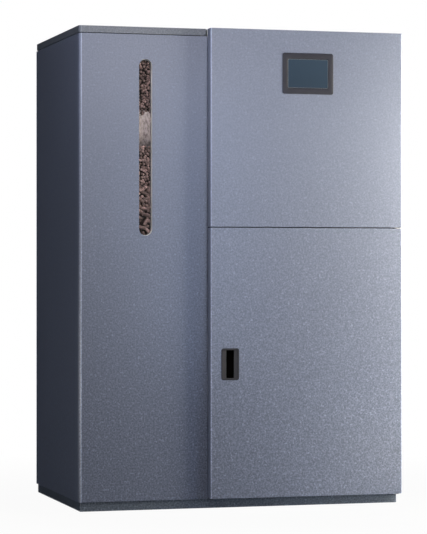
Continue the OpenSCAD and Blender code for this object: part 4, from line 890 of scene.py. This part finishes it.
def pellet_tree(finish):
    """Scatters pellets over faces, a least distance apart: each leans out of the face and turns at random."""
    tree = Tree("pellet_scatter", Shape=None, Seed=1, Apart=0.006, Least_Lean=0.0, Most_Lean=0.3, Depth=0.004,
                Size=1.0, Least_Length=0.6, Most_Length=1.35)
    scatter = tree.add("GeometryNodeDistributePointsOnFaces")
    scatter.distribute_method = "POISSON"
    for key, value in (("Mesh", tree.given["Geometry"]), ("Distance Min", tree.given["Apart"]),
                       ("Density Max", 200000.0), ("Seed", tree.given["Seed"])):
        tree.feed(scatter, key, value)
    depth = tree.random(21, 0.0, tree.given["Depth"])
    inward = tree.add("ShaderNodeVectorMath")
    inward.operation = "SCALE"
    tree.feed(inward, 0, scatter.outputs["Normal"])
    tree.feed(inward, "Scale", add_math(tree.group, "MULTIPLY", depth, -1.0))
    moved = tree.add("GeometryNodeSetPosition", Geometry=scatter.outputs["Points"], Offset=inward.outputs[0])
    spin = tree.random(22, 0.0, 2 * math.pi)
    lean = tree.random(23, tree.given["Least_Lean"], tree.given["Most_Lean"])
    angles = tree.add("ShaderNodeCombineXYZ", Y=lean, Z=spin)
    local = tree.add("FunctionNodeEulerToRotation", Euler=angles.outputs[0])
    facing = tree.add("FunctionNodeAlignRotationToVector", Vector=scatter.outputs["Normal"])
    facing.axis = "Z"
    turn = tree.add("FunctionNodeRotateRotation", Rotation=facing.outputs[0], Rotate_By=local.outputs[0])
    turn.rotation_space = "LOCAL"
    size = tree.given["Size"]
    stretch = tree.random(24, tree.given["Least_Length"], tree.given["Most_Length"])
    length = add_math(tree.group, "MULTIPLY", size, stretch)
    scale = tree.add("ShaderNodeCombineXYZ", X=length, Y=size, Z=size)
    shape = tree.add("GeometryNodeObjectInfo", Object=tree.given["Shape"])
    on = tree.add("GeometryNodeInstanceOnPoints", Points=moved.outputs[0], Instance=shape.outputs["Geometry"],
                  Rotation=turn.outputs[0], Scale=scale.outputs[0])
    tree.end(on.outputs[0], finish)
    return tree


def scatter_pellets(tree, shape, corners, inward, layers):
    """Pellets over copies of a flat face, each moved inward by its layer's depth.

    A layer holds the depth, least distance, seed, least and most lean, scatter in depth, size, and least
    and most length."""
    meshes = []
    for depth, apart, seed, least, most, spread, size, short, long in layers:
        face = bpy.data.meshes.new("pellet_face")
        points = [tuple(c + depth * step for c, step in zip(corner, inward)) for corner in corners]
        face.from_pydata(points, [], [(0, 1, 2, 3)])
        meshes.append(tree.run(face, Shape=shape, Apart=apart, Seed=seed, Least_Lean=least, Most_Lean=most,
                               Depth=spread, Size=size, Least_Length=short, Most_Length=long))
    return meshes


def add_pellets():
    """Loose pellets at the window and on top, over the solid charge that fills the rest of the hopper."""
    shape = linked("pellet_shape", pellet_shape())
    low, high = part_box("pellet_charge")
    glow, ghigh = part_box("window_glass")
    x0, x1 = glow[0] + 6 * MM, ghigh[0] - 6 * MM
    end_on = [(10 * MM, 5.3 * MM, 3, 1.2, 1.5, 0.8 * MM, 0.95, 0.95, 1.06)]
    mixed = [(10 * MM, 8.5 * MM, 7, 1.2, 1.5, 0.8 * MM, 1.0, 0.95, 1.08),
             (5.0 * MM, 12.5 * MM, 15, 0.0, 0.2, 0.8 * MM, 1.2, 0.8, 1.2),
             (9.5 * MM, 8.0 * MM, 11, 0.0, 0.4, 2 * MM, 1.2, 0.8, 1.3)]
    lying = [(5.2 * MM, 12.5 * MM, 5, 0.0, 0.2, 0.6 * MM, 1.3, 0.8, 1.2),
             (10 * MM, 8.0 * MM, 9, 0.0, 0.4, 2 * MM, 1.25, 0.8, 1.3)]
    flat = [(5 * MM, 8.5 * MM, 8, 0.0, 0.3, 3 * MM, 1.0, 0.6, 1.35),
            (9 * MM, 7.5 * MM, 13, 0.0, 0.3, 4 * MM, 1.0, 0.6, 1.35)]
    windows = [
        ("window_pellets", WINDOW_PELLETS, [(DUST_HIGH - 12 * MM, ghigh[2], end_on)]),
        ("low_window_pellets", LOW_PELLETS, [(MIXED_HIGH, DUST_LOW + 14 * MM, end_on),
                                             (MIXED_LOW, MIXED_HIGH, mixed), (glow[2], MIXED_LOW, lying)]),
    ]
    for name, wood, zones in windows:
        tree = pellet_tree(wood)
        meshes = []
        for z0, z1, layers in zones:
            corners = [(x, PELLET_FRONT, z) for x, z in ((x0, z0), (x1, z0), (x1, z1), (x0, z1))]
            meshes += scatter_pellets(tree, shape, corners, (0, 1, 0), layers)
        piece(name, joined(*meshes), "cabinet", "wood_pellets", finish=wood)
    side = 12 * MM
    a, b, c, d = low[0] + side, high[0] - side, low[1] + side, high[1] - side
    corners = [(x, y, high[2]) for x, y in ((a, c), (b, c), (b, d), (a, d))]
    on_top = scatter_pellets(pellet_tree(FINISHES["wood_pellets"]), shape, corners, (0, 0, -1), flat)
    bpy.data.objects.remove(shape)
    core = cad_copy("pellet_charge")
    for vertex in core.vertices:
        if vertex.co.z > high[2] - 2 * MM:
            vertex.co.z -= 13 * MM
        if vertex.co.y < low[1] + 1 * MM:
            vertex.co.y += 12 * MM
    # The core is painted near black as the shade deep in the charge
    piece("pellet_core", core, "cabinet", "wood_pellets", ["pellet_charge"], SHADED_CORE_WOOD)
    piece("loose_pellets", joined(*on_top), "cabinet", "wood_pellets")


def add_window_dust():
    """Dust that has settled between the glass and the pellets, with a lumpy top and a foot that thins out."""
    glow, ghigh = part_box("window_glass")
    x0, x1 = glow[0] + 6 * MM, ghigh[0] - 6 * MM
    back = PELLET_FRONT + 14 * MM
    across, up = 28, 76
    lumps_per_metre, head_height, foot_height = 70, 12 * MM, 30 * MM
    loops = []
    for k in range(up + 1):
        z = DUST_LOW + (DUST_HIGH - DUST_LOW) * k / up
        front = []
        for i in range(across + 1):
            x = x0 + (x1 - x0) * i / across
            lump = noise.fractal(Vector((x, z, 0.0)) * lumps_per_metre, 1.0, 2.0, 3)
            head = max(0.0, z - DUST_HIGH + (9 - 9 * lump) * MM) / head_height
            foot = max(0.0, DUST_LOW + (30 + 14 * lump) * MM - z) / foot_height
            y = PELLET_FRONT + 0.8 * MM + 0.5 * MM * lump + 13 * MM * head + 7 * MM * foot ** 1.5
            front.append((x, min(y, back - 1 * MM), z))
        loops.append(front + [(x1, back, z), (x0, back, z)])
    dust = wood_dust("window_dust", DUST_LOW, DUST_HIGH)
    piece("window_dust", loft(loops), "cabinet", "wood_pellets", finish=dust, smooth=50)


def add_window_trim():
    """Pale profile with a sloping edge round the window slot, and the dark seal of the tank behind it."""
    low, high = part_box("window_glass")
    (cx, cz), (w, h) = front_of("window_glass")
    glass_margin = 12 * MM
    w, h = w - 2 * glass_margin, h - 2 * glass_margin
    glass, inside = low[1], high[1]
    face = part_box("hopper_front_panel")[0][1]

    def slot_ring(*rows):
        """Ring of rows that hold the growth of the slot, the depth and a shift to the left."""
        loops = []
        for grow, y, left in rows:
            outline = round_rect(cx - left, cz, w + 2 * grow, h + 2 * grow, w / 2 + grow, 12)
            loops.append(upright(outline, y))
        return loft(loops, ring=True)

    front = slot_ring(
        (-0.1 * MM, face + 0.25 * MM, 0), (-0.2 * MM, face + 0.2 * MM, 0.1 * MM),
        (-0.8 * MM, glass - 0.4 * MM, 0.6 * MM), (-0.8 * MM, glass - 0.15 * MM, 0.6 * MM),
        (1.7 * MM, glass - 0.15 * MM, 0), (1.7 * MM, face + 1.6 * MM, 0), (-0.1 * MM, face + 1.6 * MM, 0))
    back = slot_ring(
        (-0.05 * MM, inside + 0.2 * MM, 0), (-1.4 * MM, inside + 0.2 * MM, 0),
        (-1.4 * MM, inside + 2.2 * MM, 0), (-0.05 * MM, inside + 2.2 * MM, 0))
    piece("window_trim", joined(front, back), "cabinet", "black_plastic", finish=TRIM_GREY, smooth=35)
    seal = slot_ring(
        (-0.6 * MM, inside + 2.3 * MM, 0), (-2.6 * MM, inside + 2.6 * MM, 0),
        (-2.6 * MM, inside + 8.5 * MM, 0), (-0.6 * MM, inside + 9.0 * MM, 0))
    piece("tank_edge_seal", seal, "cabinet", "seal_rubber", smooth=50)


# Rear fittings

# Height of the drain valve's axis, and the middle of its ball housing along Y
DRAIN_HEIGHT = 0.352
DRAIN_MIDDLE = 0.301


def thread(radius, start, end, pitch=2.3 * MM, depth=1.1 * MM):
    """Profile of a screw thread as (radius, distance) pairs."""
    profile = []
    turns = int((end - start) / pitch)
    for i in range(turns):
        d = start + i * pitch
        profile += [(radius - depth, d + 0.1 * pitch), (radius, d + 0.5 * pitch),
                    (radius - depth, d + 0.9 * pitch)]
    return profile


def hollow(profile, bore, x, z):
    """Turned piece with a bore, its axis along Y."""
    inner = [(bore, profile[-1][1]), (bore, profile[0][1])]
    return loft(turned(profile + inner, (x, 0, z), "Y", 56), ring=True)


def add_rear_fittings():
    """Flue collar with rolled beads, threaded water pipes and the drain valve."""
    low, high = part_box("flue_collar")
    (x, z), (width, _) = front_of("flue_collar")
    r = width / 2
    profile = [(r, low[1]), (r, high[1] - 32 * MM)]
    for from_end in (30 * MM, 14 * MM):
        mid = high[1] - from_end
        profile += [(r - 0.2 * MM, mid - 4 * MM), (r - 1.1 * MM, mid - 2 * MM), (r - 1.1 * MM, mid + 2 * MM),
                    (r - 0.2 * MM, mid + 4 * MM)]
    profile += [(r, high[1] - 6 * MM), (r, high[1] - 0.4 * MM), (r - 0.4 * MM, high[1])]
    piece("flue_collar_rolled", hollow(profile, r - 1.5 * MM, x, z), "cabinet", "galvanised_steel",
          ["flue_collar"], smooth=40)
    for node in ("supply_pipe", "return_pipe"):
        low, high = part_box(node)
        (x, z), (width, _) = front_of(node)
        r = width / 2
        profile = [(r, low[1]), (r, high[1] - 24 * MM)]
        profile += thread(r, high[1] - 23 * MM, high[1] - 1.5 * MM)
        profile += [(r - 1.2 * MM, high[1])]
        piece(node + "_threaded", hollow(profile, r - 3.2 * MM, x, z), "cabinet", "galvanised_steel", [node],
              smooth=25)
    low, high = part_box("drain_valve")
    x, z = (low[0] + high[0]) / 2, DRAIN_HEIGHT
    r, y, top = 10.5 * MM, DRAIN_MIDDLE, high[2]
    profile = [(r, low[1]), (r, y - 15 * MM), (r + 3 * MM, y - 14 * MM), (r + 5 * MM, y - 12 * MM),
               (r + 5 * MM, y - 5 * MM), (r + 3 * MM, y - 3 * MM), (r + 3 * MM, y + 3 * MM),
               (r + 5 * MM, y + 5 * MM), (r + 5 * MM, y + 12 * MM), (r + 3 * MM, y + 14 * MM)]
    profile += thread(r, y + 14.5 * MM, high[1] - 0.8 * MM, 1.8 * MM, 0.9 * MM) + [(r - 1 * MM, high[1])]
    stem = loft(turned([(5 * MM, z + 12 * MM), (5 * MM, top - 8.3 * MM), (3 * MM, top - 8 * MM),
                        (3 * MM, top - 0.5 * MM), (2.4 * MM, top)], (x, y, 0), "Z", 24))
    piece("drain_valve_brass", joined(hollow(profile, r - 3 * MM, x, z), stem), "cabinet", "brass",
          ["drain_valve"], smooth=30)


def screw_head():
    """Pan head with a cross recess, its face towards +Y."""
    radius, height = 4 * MM, 2 * MM
    head = loft(turned([(radius, 0), (radius * 0.97, height * 0.45), (radius * 0.8, height * 0.85),
                        (radius * 0.62, height * 0.96)], (0, 0, 0), "Y", 20))
    bm = bmesh.new()
    bm.from_mesh(head)
    top = max(bm.faces, key=lambda f: f.calc_center_median().y)
    arm, half = radius * 0.5, radius * 0.13
    shape = [(arm, half), (half, half), (half, arm), (-half, arm), (-half, half), (-arm, half), (-arm, -half),
             (-half, -half), (-half, -arm), (half, -arm), (half, -half), (arm, -half)]
    y = height * 0.96
    outer = list(top.verts)
    bm.faces.remove(top)
    rim = [bm.verts.new((px, y, pz)) for px, pz in shape]
    foot = [bm.verts.new((px * 0.8, y - height * 0.5, pz * 0.8)) for px, pz in shape]
    edges = []
    for i, j in around(len(shape)):
        bm.faces.new((rim[i], rim[j], foot[j], foot[i]))
        edges.append(bm.edges.get((rim[i], rim[j])))
    bm.faces.new(foot)
    edges += [e for e in bm.edges if e.is_boundary and e.verts[0] in outer and e.verts[1] in outer]
    bmesh.ops.triangle_fill(bm, edges=edges, use_beauty=True)
    mesh = mesh_from(bm)
    soften(mesh, 35)
    return mesh


def add_screws():
    """Screw heads that hold the rear panel."""
    low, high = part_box("panel_screws")
    head = 4 * MM
    rows = 4
    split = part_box("lower_door")[0][0]
    xs = [low[0] + head, split - 3 * head, split + 3 * head, high[0] - head]
    zs = [low[2] + head + (high[2] - low[2] - 2 * head) * i / (rows - 1) for i in range(rows)]
    points = [(x, low[1], z) for x in xs for z in zs]
    mesh = repeated("rear_screw_rows", screw_head(), points, FINISHES["zinc_plate"])
    piece("rear_screws", mesh, "cabinet", "zinc_plate", ["panel_screws"])


def add_louvres():
    """Pressed hoods over the air slots of the rear panel."""
    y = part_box("rear_panel")[1][1]
    x = front_of("boiler_body")[0][0]
    half, rows, first, pitch = 58 * MM, 9, 112 * MM, 12 * MM
    section = [(0, 5.5 * MM), (1.2 * MM, 5.0 * MM), (2.6 * MM, 2.5 * MM), (3.0 * MM, -0.5 * MM),
               (2.4 * MM, -0.6 * MM), (1.6 * MM, 2.2 * MM), (0, 4.2 * MM)]
    loops = []
    for along, shrink in ((-half - 3 * MM, 0.05), (-half, 0.85), (-half + 3 * MM, 1), (half - 3 * MM, 1),
                          (half, 0.85), (half + 3 * MM, 0.05)):
        loops.append([(along, max(0.0, d * shrink), s * (0.6 + 0.4 * shrink)) for d, s in section])
    hood = loft(loops)
    soften(hood, 40)
    points = [(x, y, first + i * pitch) for i in range(rows)]
    mesh = repeated("louvre_rows", hood, points, FINISHES["painted_sheet"])
    piece("rear_louvres", mesh, "cabinet", "painted_sheet")


# Inside

# Middle of the handle bars of the firebox door and the ash drawer, along X and Z
FIRE_HANDLE = (0.080, 0.426)
DRAWER_HANDLE = (0.190, 0.137)


def add_auger_flight():
    """Smooth helical flight round the auger's shaft."""
    low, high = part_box("auger_flight")
    shaft_low, shaft_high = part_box("auger_shaft")
    y, z = (shaft_low[1] + shaft_high[1]) / 2, (shaft_low[2] + shaft_high[2]) / 2
    outer = (high[1] - low[1]) / 2
    core, pitch, thick = 7.5 * MM, 55 * MM, 3 * MM
    turns = (high[0] - low[0] - thick) / pitch
    steps = int(turns * 40)
    section = [(core, 0), (outer - 0.4 * MM, 0), (outer, 0.5 * MM), (outer, thick - 0.5 * MM),
               (outer - 0.4 * MM, thick), (core, thick)]
    loops = []
    for i in range(steps + 1):
        t = turns * i / steps
        a = 2 * math.pi * t
        x = low[0] + t * pitch
        loops.append([(x + dx, y + r * math.cos(a), z + r * math.sin(a)) for r, dx in section])
    piece("auger_helix", loft(loops), "auger", "galvanised_steel", ["auger_flight"], smooth=40)


def rope_tree(finish):
    """Strands laid at a slant along a path, as on a twisted rope."""
    tree = Tree("rope_lay", Shape=None, Spacing=0.004)
    path = tree.add("GeometryNodeMeshToCurve", Mesh=tree.given["Geometry"])
    points = tree.add("GeometryNodeCurveToPoints", Curve=path.outputs[0])
    points.mode = "LENGTH"
    tree.feed(points, "Length", tree.given["Spacing"])
    shape = tree.add("GeometryNodeObjectInfo", Object=tree.given["Shape"])
    on = tree.add("GeometryNodeInstanceOnPoints", Points=points.outputs["Points"],
                  Instance=shape.outputs["Geometry"], Rotation=points.outputs["Rotation"])
    tree.end(on.outputs[0], finish)
    return tree


def add_firebox_trim():
    """Insulating board with soft edges and the braided rope round it."""
    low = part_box("firebox_board")[0]
    middle, (w, h) = front_of("firebox_board")
    board = bevelled(cad_copy("firebox_board"), 1.0 * MM)
    piece("firebox_board_soft", board, "fire_door", "insulation", ["firebox_board"])
    ring = round_rect(*middle, w - 8 * MM, h - 8 * MM, 14 * MM, 6)
    spine = bpy.data.meshes.new("rope_path")
    spine.from_pydata(upright(ring, low[1] + 1.5 * MM), around(len(ring)), [])
    half = 3.4 * MM
    profile = [(0.2 * MM, -half), (0.9 * MM, -half * 0.6), (1.25 * MM, 0), (0.9 * MM, half * 0.6),
               (0.2 * MM, half)]
    strand = loft(turned(profile, (0, 0, 0), "Z", 6))
    strand.transform(Matrix.Rotation(math.radians(38), 4, "X"))
    shape = linked("strand_shape", strand)
    mesh = rope_tree(FINISHES["insulation"]).run(spine, Shape=shape, Spacing=1.9 * MM)
    bpy.data.objects.remove(shape)
    piece("door_rope", mesh, "fire_door", "insulation", smooth=60)


def coil_tree(finish):
    """Wire coil on a handle: turns of a helix made into a round wire."""
    tree = Tree("handle_coil", Turns=18.0, Radius=0.006, Height=0.07, Wire=0.0008)
    radius = tree.given["Radius"]
    helix = tree.add("GeometryNodeCurveSpiral", Resolution=20, Rotations=tree.given["Turns"],
                     Height=tree.given["Height"], Start_Radius=radius, End_Radius=radius)
    ring = tree.add("GeometryNodeCurvePrimitiveCircle", Resolution=8, Radius=tree.given["Wire"])
    wire = tree.add("GeometryNodeCurveToMesh", Curve=helix.outputs[0], Profile_Curve=ring.outputs[0],
                    Fill_Caps=True)
    tree.end(wire.outputs[0], finish)
    return tree


def add_handle_coils():
    """Cool-touch wire coils on the handles of the firebox door and the ash drawer."""
    tree = coil_tree(FINISHES["zinc_plate"])
    length = 70 * MM
    spots = [("firebox_handle_coil", "firebox_door", FIRE_HANDLE, False),
             ("drawer_handle_coil", "ash_drawer", DRAWER_HANDLE, True)]
    for name, node, (x, z), lying in spots:
        seed = bpy.data.meshes.new("coil_seed")
        mesh = tree.run(seed, Turns=24.0, Radius=5.6 * MM, Height=length, Wire=0.8 * MM)
        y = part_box(node)[0][1] + 5 * MM
        if lying:
            place = Matrix.Translation((x - length / 2, y, z)) @ Matrix.Rotation(math.pi / 2, 4, "Y")
        else:
            place = Matrix.Translation((x, y, z - length / 2))
        mesh.transform(place)
        piece(name, mesh, BODY_OF[node], "zinc_plate", smooth=60)


def add_terminals():
    """Terminal rows in the control box."""
    low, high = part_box("control_box")
    terminals, pitch, margin = 18, 10.5 * MM, 45 * MM
    rows = [(9 * MM, 12 * MM, 0), (9 * MM, 12 * MM, 12 * MM), (7.4 * MM, 9 * MM, 14 * MM)]
    block = loft([level(round_rect(0, 0, w, d, 1 * MM, 2), z) for w, d, z in rows])
    hole_profile = [(2.4 * MM, 0), (2.4 * MM, 14.4 * MM), (1.2 * MM, 14.0 * MM)]
    wire_hole = loft(turned(hole_profile, (0, 0, 0), "Z", 12))
    shape = joined(block, wire_hole)
    shape.transform(Matrix.Rotation(math.pi / 2, 4, "X"))
    points = [(low[0] + 30 * MM + i * pitch, low[1] + 26 * MM, z)
              for i in range(terminals) for z in (low[2] + margin, high[2] - margin)]
    mesh = repeated("terminal_rows", shape, points, GREEN_TERMINAL)
    piece("control_terminals", mesh, "cabinet", "black_plastic", finish=GREEN_TERMINAL, smooth=35)


add_display()
add_pull()
add_seals()
add_pellets()
add_window_dust()
add_window_trim()
add_rear_fittings()
add_screws()
add_louvres()
add_auger_flight()
add_firebox_trim()
add_handle_coils()
add_terminals()
